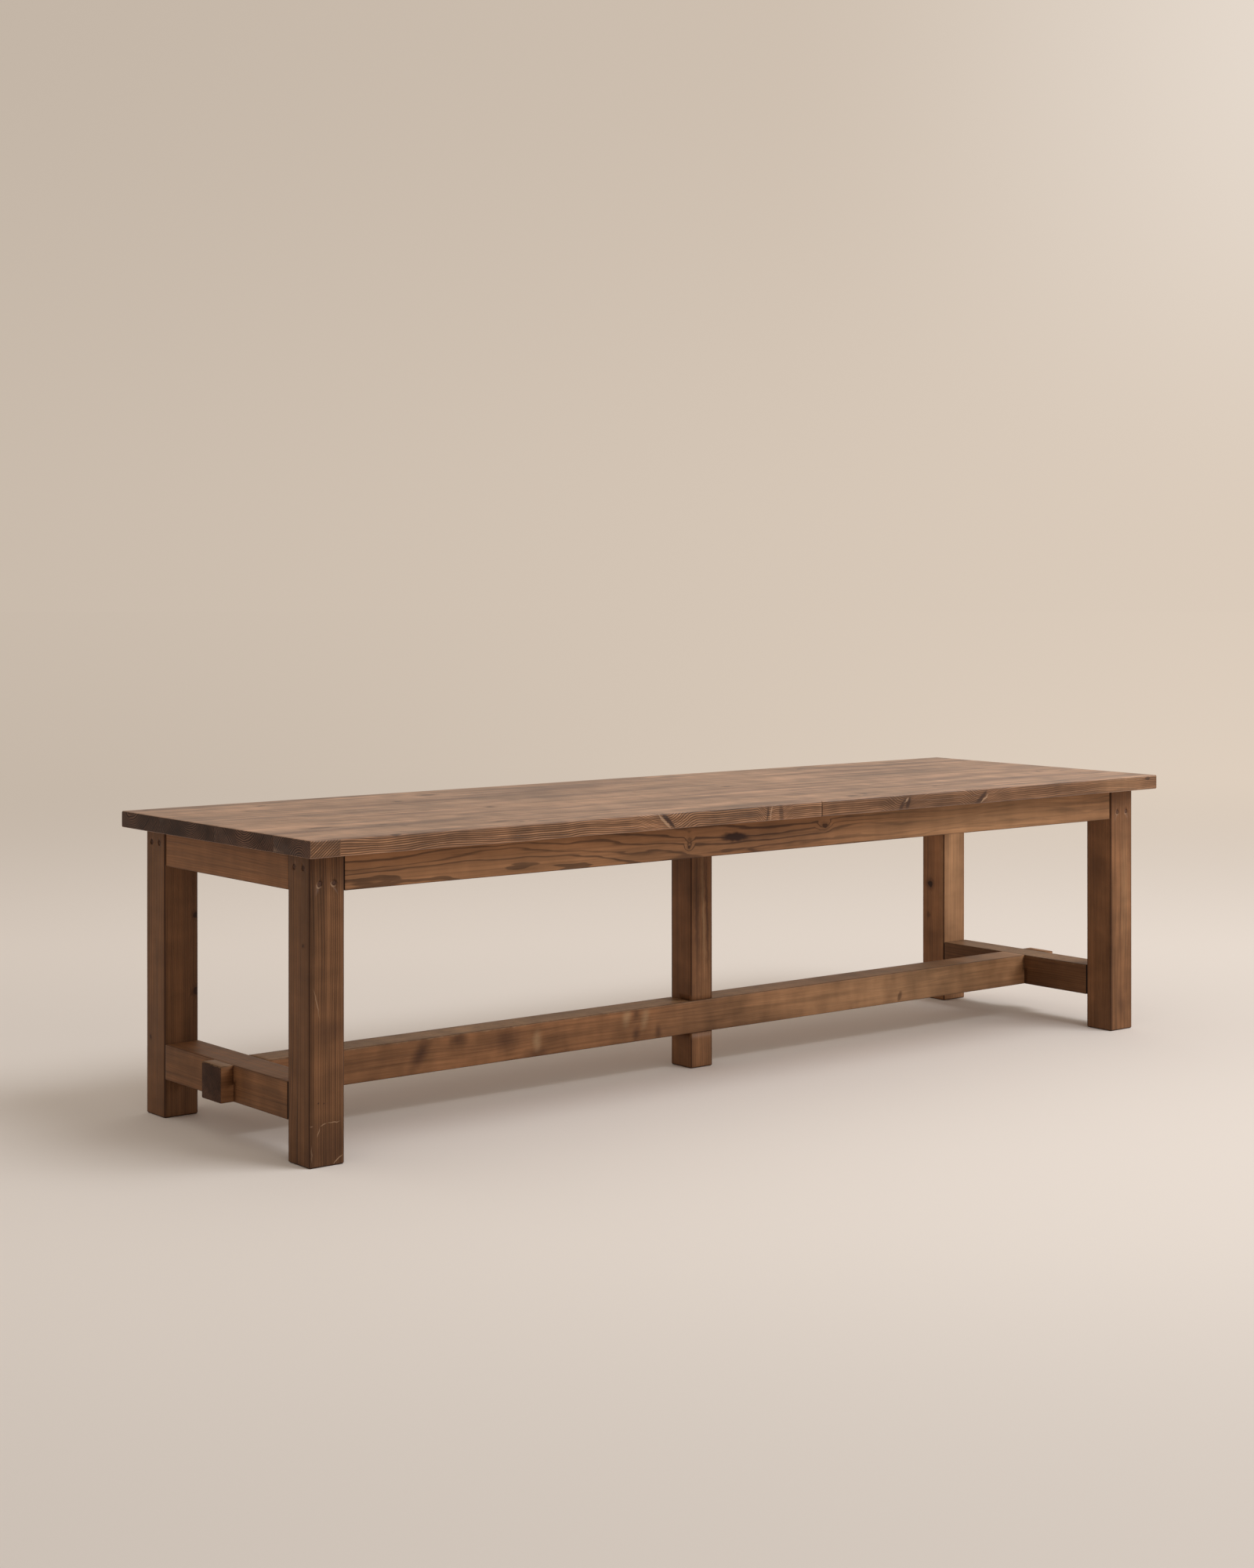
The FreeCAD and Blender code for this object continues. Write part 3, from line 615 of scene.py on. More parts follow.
def make_floor():
    """A pale paper floor with painted light on it; it fades into the backdrop and can't be seen from below.
    """
    work = bmesh.new()
    bmesh.ops.create_circle(work, cap_ends=True, segments=FLOOR_SIDES, radius=FLOOR_RADIUS)
    floor = new_object("floor", new_mesh("floor", work))
    material, sheet = new_material("studio_floor")
    place = sheet.node("TexCoord", out="Object")
    way = sheet.node("VectorMath", {"operation": "NORMALIZE"}, {0: place})
    x, y = place.split()[:2]
    sideways = x * RIGHTWARD[0] + y * RIGHTWARD[1]
    behind = x * AWAY[0] + y * AWAY[1]
    # Painted light on the floor: a pool of light near the table, lighter to the right and far behind,
    # darker towards the camera
    light_pool = place.distance_to(LIGHT_POOL_CENTRE, (1.0, 1.0, 1.0)).fade(0.3, 2.6, 1.08, 1.0)
    painted_light = sideways.fade(-4.0, 4.0, 0.97, 1.03) * behind.fade(0.3, 2.5, 1.02, 1.12) * light_pool
    painted_light = painted_light * behind.fade(-3.6, -1.7, 0.90, 1.0)
    ground = sheet.node("CombineColor", inputs={i: painted_light * FLOOR_COLOUR[i] for i in range(3)})
    paper = sheet.node("BsdfPrincipled",
                       inputs={"Base Color": ground, "Roughness": 0.9, "Specular IOR Level": 0.1})
    far = sheet.node("Emission", inputs={"Color": backdrop_colour(way), "Strength": 1.0})
    above = sheet.node("MixShader", inputs={0: place.length().fade(*FLOOR_ENDS), 1: paper, 2: far})
    below = sheet.node("NewGeometry", out="Backfacing")
    clear = sheet.node("BsdfTransparent")
    surface = sheet.node("MixShader", inputs={0: below, 1: above, 2: clear})
    sheet.node("OutputMaterial", inputs={"Surface": surface})
    floor.data.materials.append(material)
    return floor


def make_world():
    """Even light from all round; the camera and reflections see the backdrop instead."""
    world = bpy.data.worlds.new("studio")
    bpy.context.scene.world = world
    world.use_nodes = True
    world.node_tree.nodes.clear()
    sheet = Shade(world.node_tree)
    path = sheet.node("LightPath", out="Is Camera Ray")
    seen = path.most(path.twin("Is Glossy Ray")).most(path.twin("Is Transmission Ray"))
    way = sheet.node("TexCoord", out="Generated")
    paper = sheet.node("Background", inputs={"Color": backdrop_colour(way), "Strength": 1.0})
    light = sheet.node("Background", inputs={"Color": AMBIENT, "Strength": AMBIENT_LEVEL})
    surface = sheet.node("MixShader", inputs={0: seen, 1: light, 2: paper})
    sheet.node("OutputWorld", inputs={"Surface": surface})


def make_softbox(name, place, aim, size, power):
    lamp_data = bpy.data.lights.new(name, "AREA")
    lamp_data.shape = "SQUARE"
    lamp_data.size = size
    lamp_data.energy = power
    lamp_data.color = KEY_COLOUR
    lamp = new_object(name, lamp_data)
    lamp.location = place
    lamp.rotation_euler = (Vector(aim) - Vector(place)).to_track_quat("-Z", "Y").to_euler()
    return lamp


def share_light(lamp, floor, share):
    """Lets a lamp light the floor alone, or all but the floor."""
    linked = bpy.data.collections.new(lamp.name + "_link")
    linked.objects.link(floor)
    linked.collection_objects[0].light_linking.link_state = share
    lamp.light_linking.receiver_collection = linked


studio_floor = make_floor()
make_world()
key_softbox = make_softbox("key_softbox", place=(5.28, -5.04, 5.0), aim=(0.5, 0.0, 0.4),
                           size=4.1, power=475.0)
share_light(key_softbox, studio_floor, "EXCLUDE")
floor_softbox = make_softbox("floor_softbox", place=(2.5, -4.5, 8.6), aim=(0.0, 0.0, 0.0),
                             size=5.0, power=400.0)
share_light(floor_softbox, studio_floor, "INCLUDE")


# Marks in the wood

UNTURNED = (0.0, 0.0, 0.0)
RIGHT_THROUGH = 9.0


def knot(x, y, z, size, through, stretch=1.5, along="x", strength=1.0):
    """A knot whose branch runs through the timber along one axis, drawn out along the grain."""
    reach = [size, size, size]
    reach["xyz".index(along)] = size * stretch
    reach["xyz".index(through)] = RIGHT_THROUGH
    return ("knot", (x, y, z), tuple(reach), UNTURNED, strength)


def scatter_knots(seed, count, low, high, through, along, size):
    """Small knots at places drawn from a fixed seed."""
    draw = random.Random(seed)
    found = []
    for _ in range(count):
        place = [draw.uniform(low[axis], high[axis]) for axis in range(3)]
        found.append(knot(*place, draw.uniform(0.5, 1.0) * size, through, draw.uniform(1.2, 1.9), along,
                          draw.uniform(0.6, 1.0)))
    return found


def level(kind, x, y, z, reach, strength, tilt=0.0):
    """A mark that can be tilted in the plane of a front face."""
    return (kind, (x, y, z), reach, (0.0, tilt, 0.0), strength)


def on_face(y, rows):
    """Marks on one front face, from rows of kind, place along and up it, reach, strength and tilt."""
    return [level(kind, x, y, z, *rest) for kind, x, z, *rest in rows]


# Top boards

BOARD_EASING = 0.0032
SHARP = 0.0004
BOARD_UNEVENNESS = 0.0003
FRONT = -0.465
TOP_UNDERSIDE = 0.733
WAVE = 0.0010
WAVES = 5.0
WAVE_ROW = 3.1
WAVE_DEPTH = 0.05
WAVE_HEIGHT = 0.02
SEAM_EASING = 0.0016
SEAM_GAP = 0.0002
SEAM_SIDES = (1, 0, 1, 0)
EDGE_LOOK = {"top_board_front_left": (1.14, 1.1), "top_board_front_right": (1.03, 0.65)}
KNOT_FREE = 0.06
BOARD_KNOTS = 3
BOARD_KNOT = 0.010


def worn_front(spot):
    """The front edge's lower arris is a little wavy."""
    low_down = max(0.0, 1 - (spot.z - TOP_UNDERSIDE) / WAVE_HEIGHT)
    near = max(0.0, 1 - (spot.y - FRONT) / WAVE_DEPTH) * low_down
    spot.z += WAVE * near * noise.noise(Vector((spot.x * WAVES, WAVE_ROW, 0.0)))
    return spot


def make_boards():
    outer = BOARD_EASING
    inner = (SHARP,) * 4
    front = (outer, SHARP, SHARP, outer)
    back = (SHARP, outer, outer, SHARP)
    both = (outer, outer)
    left = (outer, SEAM_EASING)
    right = (SEAM_EASING, outer)
    # Node, corners, the sides that its ends round into, pith, ring, seed, end easings, tone
    rows = (
        ("top_board_back", back, (0, 1, 1, 1), (0.396, 0.830), 0.0066, 1.7, both, 1.00),
        ("top_board_back_centre", inner, (0, 0, 1, 1), (0.111, 0.826), 0.0060, 5.2, both, 0.94),
        ("top_board_front_centre", inner, (0, 0, 1, 1), (-0.170, 0.835), 0.0064, 9.4, both, 1.03),
        ("top_board_front_left", front, (1, 0, 1, 1), (-0.414, 0.700), 0.0056, 3.3, left, 0.98),
        ("top_board_front_right", front, (1, 0, 1, 1), (-0.420, 0.708), 0.0054, 7.9, right, 1.01),
    )
    marks = {
        "top_board_back": [knot(-0.620, 0.352, 0.775, 0.012, "z", 1.8, "x", 0.7)],
        "top_board_front_centre": [knot(-1.327, -0.227, 0.775, 0.014, "z", 2.2, "x", 0.6)],
        "top_board_front_left": on_face(FRONT, [
            ("curl", -0.437, 0.754, (0.020, 0.030, 0.055), 1.2, -0.8),
            ("smudge", -0.428, 0.754, (0.006, 0.02, 0.036), 0.9, -0.8),
            ("chip", -0.442, 0.754, (0.004, 0.02, 0.030), 0.6, -0.8),
            ("curl", -0.088, 0.752, (0.010, 0.030, 0.050), 1.1, 0.15),
            ("smudge", -0.088, 0.752, (0.004, 0.02, 0.026), 0.7, 0.15),
            ("curl", -0.039, 0.751, (0.012, 0.030, 0.050), 1.0, -0.1),
            ("smudge", -0.039, 0.751, (0.009, 0.02, 0.026), 0.5, -0.1),
            ("chip", -0.076, 0.752, (0.0028, 0.02, 0.022), 0.5, 0.15),
            ("smudge", -1.265, 0.774, (0.018, 0.01, 0.004), 0.9),
        ]),
        "top_board_front_right": on_face(FRONT, [
            ("curl", 0.422, 0.750, (0.020, 0.030, 0.045), 1.2, 0.6),
            ("smudge", 0.414, 0.748, (0.007, 0.02, 0.024), 0.7, 0.6),
            ("smudge", 0.436, 0.752, (0.008, 0.02, 0.020), 0.8, 0.4),
            ("chip", 0.426, 0.758, (0.003, 0.02, 0.014), 0.6, 0.9),
            ("curl", 0.729, 0.748, (0.018, 0.030, 0.045), 1.1, 0.8),
            ("smudge", 0.729, 0.750, (0.008, 0.02, 0.030), 0.8, 0.9),
            ("chip", 0.742, 0.746, (0.003, 0.02, 0.020), 0.6, 0.9),
            ("glow", 1.340, 0.754, (0.150, 0.03, 0.200), 0.18),
            ("smudge", 1.455, 0.767, (0.015, 0.02, 0.005), 0.7),
        ]),
    }
    for node, corners, sides, pith, ring, seed, ends, tone in rows:
        low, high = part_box(node)
        tight = (node == "top_board_front_right", node == "top_board_front_left")
        low.x += SEAM_GAP * tight[0]
        high.x -= SEAM_GAP * tight[1]
        reshape = worn_front if any(tight) else None
        flags = [SEAM_SIDES if closed else sides for closed in tight]
        piece = eased_timber(node + "_timber", low, high, "x", corners, ends, flags, tight,
                             amount=BOARD_UNEVENNESS, reshape=reshape)
        clear = low + Vector((0, KNOT_FREE * any(tight), 0))
        found = scatter_knots(seed, BOARD_KNOTS, clear, high, "z", "x", BOARD_KNOT) + marks.get(node, [])
        wood = stained_wood(node + "_pine", "x", pith, ring, seed, found, tone, contrast=0.85, wander=0.07,
                            gloss=0.40, top=True, arris_tint_depth=0.25, mottle=0.9,
                            edge=EDGE_LOOK.get(node, (1.0, 1.0)))
        dress(piece, node, wood)


make_boards()


# Legs

LEG_EASING = 0.0034
FOOT_EASING = 0.0042
PEG_RADIUS = 0.0060
PEG_RECESS = 0.0008
PEG_SPREAD = 0.020
LONG_PEG_HEIGHT = 0.664
END_PEG_HEIGHT = 0.701
HOLE_SIDES = 28
HOLE_DEPTH = 0.012
HOLE_CLEARANCE = 0.00012
HOLE_STEPS = ((0.002, 0.0011), (0.0, 0.0006), (-0.0012, 0.0), (-HOLE_DEPTH, 0.0))
CHIP_ROUGHNESS = 0.9
CHIP_BELOW = 0.6
CRESCENT = (-0.0014, 0.0, -0.0022)
CRESCENT_REACH = (0.0082, 0.006, 0.0082)
CRESCENT_DEPTH = 0.55
PEG_LINE_REACH = (0.0078, 0.0078, 0.0078)
PEG_LINE_DEPTH = 0.85
FAINT = 0.6
LEG_RING = 0.0044
LEG_CENTRE_X = 1.414
LEG_CENTRE_Y = 0.351
LEG_OUTER_X = 1.462
LEG_OUTER_Y = 0.399
LEG_INNER_X = 1.366
BACK_LEG_FRONT = 0.303
SLIM_FRONT = -0.044
FORK = ((0.0208, -0.1, 0.643), (0.0592, 0.1, 0.8))
CENTRE_LEG_LAP = ((-0.1, -0.1, 0.0998), (0.2, 0.0, 0.1902))


def peg_spots(side_x, side_y):
    """Where a corner leg's pegs come out, with the way each one faces."""
    spots = []
    for step in (-PEG_SPREAD, PEG_SPREAD):
        long_spot = Vector((side_x * LEG_CENTRE_X + step, side_y * LEG_OUTER_Y, LONG_PEG_HEIGHT))
        spots.append((long_spot, Vector((0, side_y, 0))))
        end_spot = Vector((side_x * LEG_OUTER_X, side_y * LEG_CENTRE_Y + step, END_PEG_HEIGHT))
        spots.append((end_spot, Vector((side_x, 0, 0))))
    return spots


def hole_cutter(spots):
    """Bored holes whose mouths are chipped a little, more so below."""
    work = bmesh.new()
    for spot, facing in spots:
        side = Vector((0, 0, 1)).cross(facing)
        rings = []
        for depth, spread in HOLE_STEPS:
            ring = []
            for i in range(HOLE_SIDES):
                turn = 2 * math.pi * i / HOLE_SIDES
                rough = noise.noise(Vector((math.cos(turn), math.sin(turn), spot.x * 9 + spot.y * 5)))
                chip = 1.0 + CHIP_ROUGHNESS * rough
                lower = 1.0 - CHIP_BELOW * math.sin(turn)
                radius = PEG_RADIUS + HOLE_CLEARANCE + spread * chip * lower
                ring.append(work.verts.new(spot + facing * depth + side * (radius * math.cos(turn))
                                           + Vector((0, 0, radius * math.sin(turn)))))
            rings.append(ring)
        skin(work, rings)
    bmesh.ops.recalc_face_normals(work, faces=work.faces)
    return new_object("cutter", new_mesh("cutter", work))


def peg_marks(spots):
    """A pale crescent below each long apron peg, a dark line round every peg, fainter at the right."""
    found = []
    for spot, facing in spots:
        fresh = 1.0 if spot.x < 0 else FAINT
        if facing.y:
            below = tuple(spot + Vector(CRESCENT))
            found.append(("chip", below, CRESCENT_REACH, UNTURNED, CRESCENT_DEPTH * fresh))
        found.append(("smudge", tuple(spot), PEG_LINE_REACH, UNTURNED, PEG_LINE_DEPTH * fresh))
    return found


def make_legs():
    # Node, pith, seed, the sides of the table it stands at, tone, hairlines, contrast
    # Tones are partly painted light: the back right leg is made lighter where more light falls on its front
    rows = (
        ("leg_front_left", (-1.53, -0.29), 2.1, (-1, -1), 0.75, 0.48, 0.60),
        ("leg_front_right", (1.35, -0.20), 6.4, (1, -1), 1.03, 0.35, 0.30),
        ("leg_back_left", (-1.30, 0.24), 8.8, (-1, 1), 0.80, 0.45, 0.35),
        ("leg_back_right", (1.47, 0.47), 4.7, (1, 1), 1.36, 0.35, 0.35),
        ("centre_leg", (0.13, 0.10), 0.6, None, 0.97, 0.32, 0.45),
    )
    face = -LEG_OUTER_Y
    marks = {
        "leg_front_left": on_face(face, [
            ("shade", -1.410, 0.045, (0.075, 0.02, 0.062), 0.34),
            ("shade", -1.411, 0.315, (0.060, 0.02, 0.030), 0.35),
            ("scratch", -1.456, 0.099, (0.007, 0.02, 0.0018), 0.4, -0.3),
            ("scratch", -1.437, 0.083, (0.0018, 0.02, 0.015), 0.45, 0.25),
            ("scratch", -1.423, 0.099, (0.012, 0.02, 0.0018), 0.45, -0.35),
            ("scratch", -1.394, 0.102, (0.022, 0.02, 0.0018), 0.45, 0.02),
            ("scratch", -1.383, 0.014, (0.020, 0.02, 0.0022), 0.55, -0.70),
            ("scratch", -1.442, 0.385, (0.0022, 0.02, 0.045), 0.35, -0.20),
            ("scratch", -1.456, 0.033, (0.0030, 0.02, 0.025), 0.25),
            ("smudge", -1.438, 0.152, (0.0022, 0.01, 0.0022), 0.9),
            ("smudge", -1.423, 0.150, (0.0022, 0.01, 0.0022), 0.9),
        ]) + [knot(-LEG_OUTER_X, -0.371, 0.518, 0.004, "x", 1.2, "z", 0.7)],
        "leg_front_right": on_face(face, [
            ("shade", 1.412, 0.075, (0.020, 0.02, 0.060), 0.45, -0.25),
            ("shade", 1.414, 0.650, (0.090, 0.02, 0.110), 0.22),
            ("glow", 1.428, 0.430, (0.020, 0.02, 0.200), 0.25),
        ]) + [level("shade", LEG_INNER_X, -0.340, 0.500, (0.02, 0.040, 0.060), 0.35)],
        "leg_back_left": [
            knot(-1.373, BACK_LEG_FRONT, 0.512, 0.006, "y", 1.3, "z"),
            knot(-1.372, BACK_LEG_FRONT, 0.317, 0.007, "y", 1.3, "z"),
            knot(-LEG_OUTER_X, 0.379, 0.199, 0.004, "x", 1.2, "z", 0.8),
        ],
        "leg_back_right": [
            knot(LEG_INNER_X, 0.364, 0.373, 0.010, "x", 1.05, "z"),
            knot(LEG_INNER_X, 0.372, 0.272, 0.007, "x", 1.4, "z", 0.45),
            # Partly paler wood, partly painted sheen on the lit front face
            level("glow", LEG_CENTRE_X, BACK_LEG_FRONT, 0.400, (0.100, 0.02, 0.500), 0.44),
        ],
        "centre_leg": on_face(SLIM_FRONT, [
            ("shade", 0.022, 0.420, (0.010, 0.02, 0.260), 0.60, -0.02),
            ("glow", 0.046, 0.440, (0.006, 0.02, 0.180), 0.60, -0.03),
            ("shade", 0.059, 0.440, (0.005, 0.02, 0.220), 0.65, -0.03),
        ]),
    }
    for node, pith, seed, sides, tone, hair, contrast in rows:
        low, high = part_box(node)
        piece = eased_timber(node + "_timber", low, high, "z", (LEG_EASING,) * 4, (FOOT_EASING, SHARP))
        found = marks.get(node, [])
        if sides:
            spots = peg_spots(*sides)
            cut_away(piece, hole_cutter(spots))
            found = found + peg_marks(spots)
        else:
            cut_away(piece, box_cutter([FORK, CENTRE_LEG_LAP]))
        wood = stained_wood(node + "_pine", "z", pith, LEG_RING, seed, found, tone, contrast, wander=0.03,
                            arris_tint_depth=1.0, hair=hair, mottle=0.7)
        dress(piece, node, wood)


make_legs()


# Aprons, bearer and stretchers

RAIL_EASING = 0.0022
SHOULDER_EASING = 0.0030
SHOULDER_GAP = 0.0014
GROOVE = (0.704, 0.715)
GROOVE_DEPTH = 0.012
THIN_LATE = {"apron_front": 0.58, "apron_back": 0.58}
LONG_FACE = 0.358
END_FACE = 1.421
APRON_INNER = {
    "apron_front": (1, -LONG_FACE, -1),
    "apron_back": (1, LONG_FACE, 1),
    "apron_left": (0, -END_FACE, -1),
    "apron_right": (0, END_FACE, 1),
}
STRETCHER_END_EASING = 0.0025
APRON_FRONT = -0.396
STRETCHER_FRONT = -0.047
STRETCHER_TOP = 0.190
OVERRUN = 0.01
CUT_SIDE = 0.1
CUT_BOTTOM = 0.05
CUT_TOP = 0.2
LAP_LEVEL = 0.145
LONG_LAP = 0.0482
END_LAP = 0.0472
STRETCHER_LEG_LAP = ((0.0008, 0.0, 0.05), (0.0792, 0.1, 0.25))


def rail_cuts(node, low, high):
    """What is cut from a rail: button grooves in the aprons, laps in the stretchers."""
    if node in APRON_INNER:
        axis, face, outward = APRON_INNER[node]
        near = [low[0] - OVERRUN, low[1] - OVERRUN, GROOVE[0]]
        far = [high[0] + OVERRUN, high[1] + OVERRUN, GROOVE[1]]
        walls = (face - outward * OVERRUN, face + outward * GROOVE_DEPTH)
        near[axis] = min(walls)
        far[axis] = max(walls)
        return [(near, far)]
    if node == "long_stretcher":
        laps = [((middle - LONG_LAP, -CUT_SIDE, LAP_LEVEL), (middle + LONG_LAP, CUT_SIDE, CUT_TOP))
                for middle in (-LEG_CENTRE_X, LEG_CENTRE_X)]
        return laps + [STRETCHER_LEG_LAP]
    if node.startswith("stretcher"):
        return [((low[0] - OVERRUN, -END_LAP, CUT_BOTTOM), (high[0] + OVERRUN, END_LAP, LAP_LEVEL))]
    return []


def make_rails():
    # Node, grain, pith, ring, seed, half its length, tone, contrast, mottle, wander
    # Tones are partly painted light and shade: the aprons are made lighter against the shadow of the top's
    # overhang, the right stretcher darker on its shaded side
    rows = (
        ("apron_front", "x", (-0.300, 0.610), 0.0122, 3.9, 1.366, 1.47, 1.65, 0.4, 0.085),
        ("apron_back", "x", (0.300, 0.620), 0.0122, 5.5, 1.366, 1.38, 1.55, 0.4, 0.085),
        ("apron_left", "y", (-1.330, 0.900), 0.0056, 7.1, 0.303, 1.16, 0.30, 0.6, 0.05),
        ("apron_right", "y", (1.330, 0.880), 0.0056, 1.3, 0.303, 1.20, 0.30, 0.3, 0.05),
        ("centre_bearer", "y", (0.130, 0.66), 0.0056, 6.6, 0.358, 1.1, 0.5, 0.3, 0.05),
        ("stretcher_left", "y", (-1.52, 0.05), 0.0056, 2.7, 0.303, 0.93, 0.30, 0.8, 0.05),
        ("stretcher_right", "y", (1.30, 0.25), 0.0056, 9.1, 0.303, 0.68, 0.35, 0.6, 0.05),
        ("long_stretcher", "x", (0.120, 0.055), 0.0050, 4.2, 1.498, 1.18, 0.30, 0.9, 0.05),
    )
    marks = {
        "apron_front": on_face(APRON_FRONT, [
            ("glow", -0.900, 0.690, (0.900, 0.05, 0.300), 0.20),
            ("shade", -0.020, 0.690, (0.320, 0.05, 0.200), 0.22),
            ("smudge", -0.142, 0.689, (0.056, 0.05, 0.014), 1.0, 0.05),
            # Partly paler, greyer wood, partly painted sheen on the lit right half of the front
            ("glow", 0.850, 0.690, (0.800, 0.05, 0.200), 0.45),
            ("calm", 1.000, 0.690, (0.800, 0.05, 0.300), 0.65),
            # Painted shadow of the top's overhang, darkening the apron's upper edge along its whole length
            ("shade", 0.300, 0.740, (1.300, 0.05, 0.034), 0.30),
        ]) + [
            knot(-0.299, APRON_FRONT, 0.693, 0.006, "y", 1.0, "x", 0.4),
            knot(-0.303, APRON_FRONT, 0.673, 0.0045, "y", 1.2, "x", 0.7),
            knot(0.183, APRON_FRONT, 0.699, 0.006, "y", 1.6, "x", 0.8),
        ],
        "long_stretcher": on_face(STRETCHER_FRONT, [
            ("shade", -0.914, 0.150, (0.022, 0.05, 0.055), 0.75, 0.6),
            ("shade", -0.794, 0.176, (0.030, 0.05, 0.020), 0.60),
            ("shade", -0.640, 0.158, (0.060, 0.05, 0.036), 0.55),
            ("shade", -0.543, 0.108, (0.040, 0.05, 0.018), 0.60),
            ("glow", -0.539, 0.143, (0.016, 0.05, 0.030), 0.90),
            ("shade", -0.199, 0.120, (0.014, 0.05, 0.024), 0.70, 0.2),
            ("shade", -0.199, 0.176, (0.014, 0.05, 0.022), 0.60, 0.2),
            ("shade", -0.121, 0.118, (0.012, 0.05, 0.024), 0.65),
            ("glow", -0.234, 0.168, (0.016, 0.05, 0.030), 0.80, 0.2),
            ("glow", -0.169, 0.160, (0.014, 0.05, 0.034), 0.80, 0.2),
            # Partly paler wood, partly painted sheen on the lit right half of the front
            ("glow", 0.900, 0.150, (0.900, 0.20, 0.200), 0.48),
            ("smudge", 0.818, 0.118, (0.010, 0.05, 0.018), 0.60, 0.4),
            ("glow", 0.834, 0.128, (0.004, 0.05, 0.018), 0.60, 0.4),
        # Painted sheen: the long stretcher's top face made lighter
        ]) + [level("glow", -0.600, 0.000, STRETCHER_TOP, (1.600, 0.15, 0.003), 0.85)],
        # Painted sheen: the right stretcher's top face made lighter
        "stretcher_right": [level("glow", LEG_CENTRE_X, 0.000, STRETCHER_TOP, (0.200, 0.60, 0.003), 0.45)],
    }
    for node, grain, pith, ring, seed, half, tone, contrast, mottle, wander in rows:
        low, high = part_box(node)
        free = node == "long_stretcher"
        u = AXES[grain][0]
        low[u] = -half + (0.0 if free else SHOULDER_GAP)
        high[u] = half - (0.0 if free else SHOULDER_GAP)
        ends = (STRETCHER_END_EASING if free else SHOULDER_EASING,) * 2
        tight = (not free,) * 2
        piece = eased_timber(node + "_timber", low, high, grain, (RAIL_EASING,) * 4, ends, tight=tight)
        cuts = rail_cuts(node, low, high)
        if cuts:
            cut_away(piece, box_cutter(cuts))
        wood = stained_wood(node + "_pine", grain, pith, ring, seed, marks.get(node, ()), tone, contrast,
                            wander, mottle=mottle, late_start=THIN_LATE.get(node, LATE_START))
        dress(piece, node, wood)


make_rails()


# Pegs, buttons and screws, set on points by geometry nodes

PIN_STEPS = 32
PIN_SIDES = 24
SCREW_SIZES = {"Head": 0.010, "Head Height": 0.003, "Shank": 0.005, "Length": 0.042, "Slot": 0.0012}
PEG_SPIN_SEED = 11
SCREW_SPIN_SEED = 5
SMALL_CREASE = math.radians(40)

# Tapers: two shares of a pin's length, and how wide it is there
PEG_HEAD = (0.0, 0.03, 0.90, 1.0)
PEG_TIP = (0.90, 1.0, 1.0, 0.75)
SCREW_DOME = (0.0, 0.75, 0.62, 1.0)
SCREW_TIP = (0.80, 1.0, 1.0, 0.15)

# Pegs
PEG_LENGTH = 0.0292
PEG_PITH = (0.3, 0.64)
PEG_RING = 0.0016
CENTRE_PEG = (0.0782, 0.0, 0.688)
CENTRE_PEG_LENGTH = 0.0764


def new_tree(name, sizes, kind="Float"):
    """A node tree that takes points, named sizes and a finish, and gives a mesh."""
    tree = bpy.data.node_groups.new(name, "GeometryNodeTree")
    tree.interface.new_socket("Points", in_out="INPUT", socket_type="NodeSocketGeometry")
    for label in sizes:
        tree.interface.new_socket(label, in_out="INPUT", socket_type="NodeSocket" + kind)
    tree.interface.new_socket("Finish", in_out="INPUT", socket_type="NodeSocketMaterial")
    tree.interface.new_socket("Mesh", in_out="OUTPUT", socket_type="NodeSocketGeometry")
    given = tree.nodes.new("NodeGroupInput")
    return tree, {socket.name: Shade(tree, socket) for socket in given.outputs if socket.name}


def set_on_points(tree, given, shape, seed):
    """Sets a shape on every point, turned as the point says, spun if there is a seed, and ends the tree."""
    sheet = Shade(tree)
    turn = sheet.node("GeometryNodeInputNamedAttribute", {"data_type": "FLOAT_VECTOR"}, {"Name": "turn"})
    turned = sheet.node("FunctionNodeEulerToRotation", inputs={0: turn})
    placed = sheet.node("GeometryNodeInstanceOnPoints",
                        inputs={"Points": given["Points"], "Instance": shape, "Rotation": turned})
    if seed:
        spin = sheet.node("FunctionNodeRandomValue", {"data_type": "FLOAT"},
                          {2: 0.0, 3: 2 * math.pi, "Seed": seed}, 1)
        placed = sheet.node("GeometryNodeRotateInstances",
                            inputs={"Instances": placed, "Rotation": sheet.join(0.0, 0.0, spin)})
    real = sheet.node("GeometryNodeRealizeInstances", inputs={0: placed})
    coloured = sheet.node("GeometryNodeSetMaterial", inputs={"Geometry": real, "Material": given["Finish"]})
    end = tree.nodes.new("NodeGroupOutput")
    tree.links.new(coloured.socket, end.inputs[0])


def turned_pin(sheet, diameter, length, taper):
    """A round pin from the origin down to a length, with a taper along it."""
    line = sheet.node("GeometryNodeCurvePrimitiveLine", inputs={"End": sheet.join(0.0, 0.0, length * -1.0)})
    fine = sheet.node("GeometryNodeResampleCurve", inputs={"Curve": line, "Count": PIN_STEPS})
    profile = sheet.node("GeometryNodeCurvePrimitiveCircle",
                         inputs={"Resolution": PIN_SIDES, "Radius": diameter * 0.5})
    return sheet.node("GeometryNodeCurveToMesh",
                      inputs={"Curve": fine, "Profile Curve": profile, "Scale": taper, "Fill Caps": True})


def peg_tree():
    """A peg: its head is eased, its far end tapers."""
    tree, given = new_tree("driven_peg", ("Diameter", "Length"))
    sheet = Shade(tree)
    share = sheet.node("GeometryNodeSplineParameter", out="Factor")
    taper = share.fade(*PEG_HEAD) * share.fade(*PEG_TIP)
    set_on_points(tree, given, turned_pin(sheet, given["Diameter"], given["Length"], taper), PEG_SPIN_SEED)
    return tree


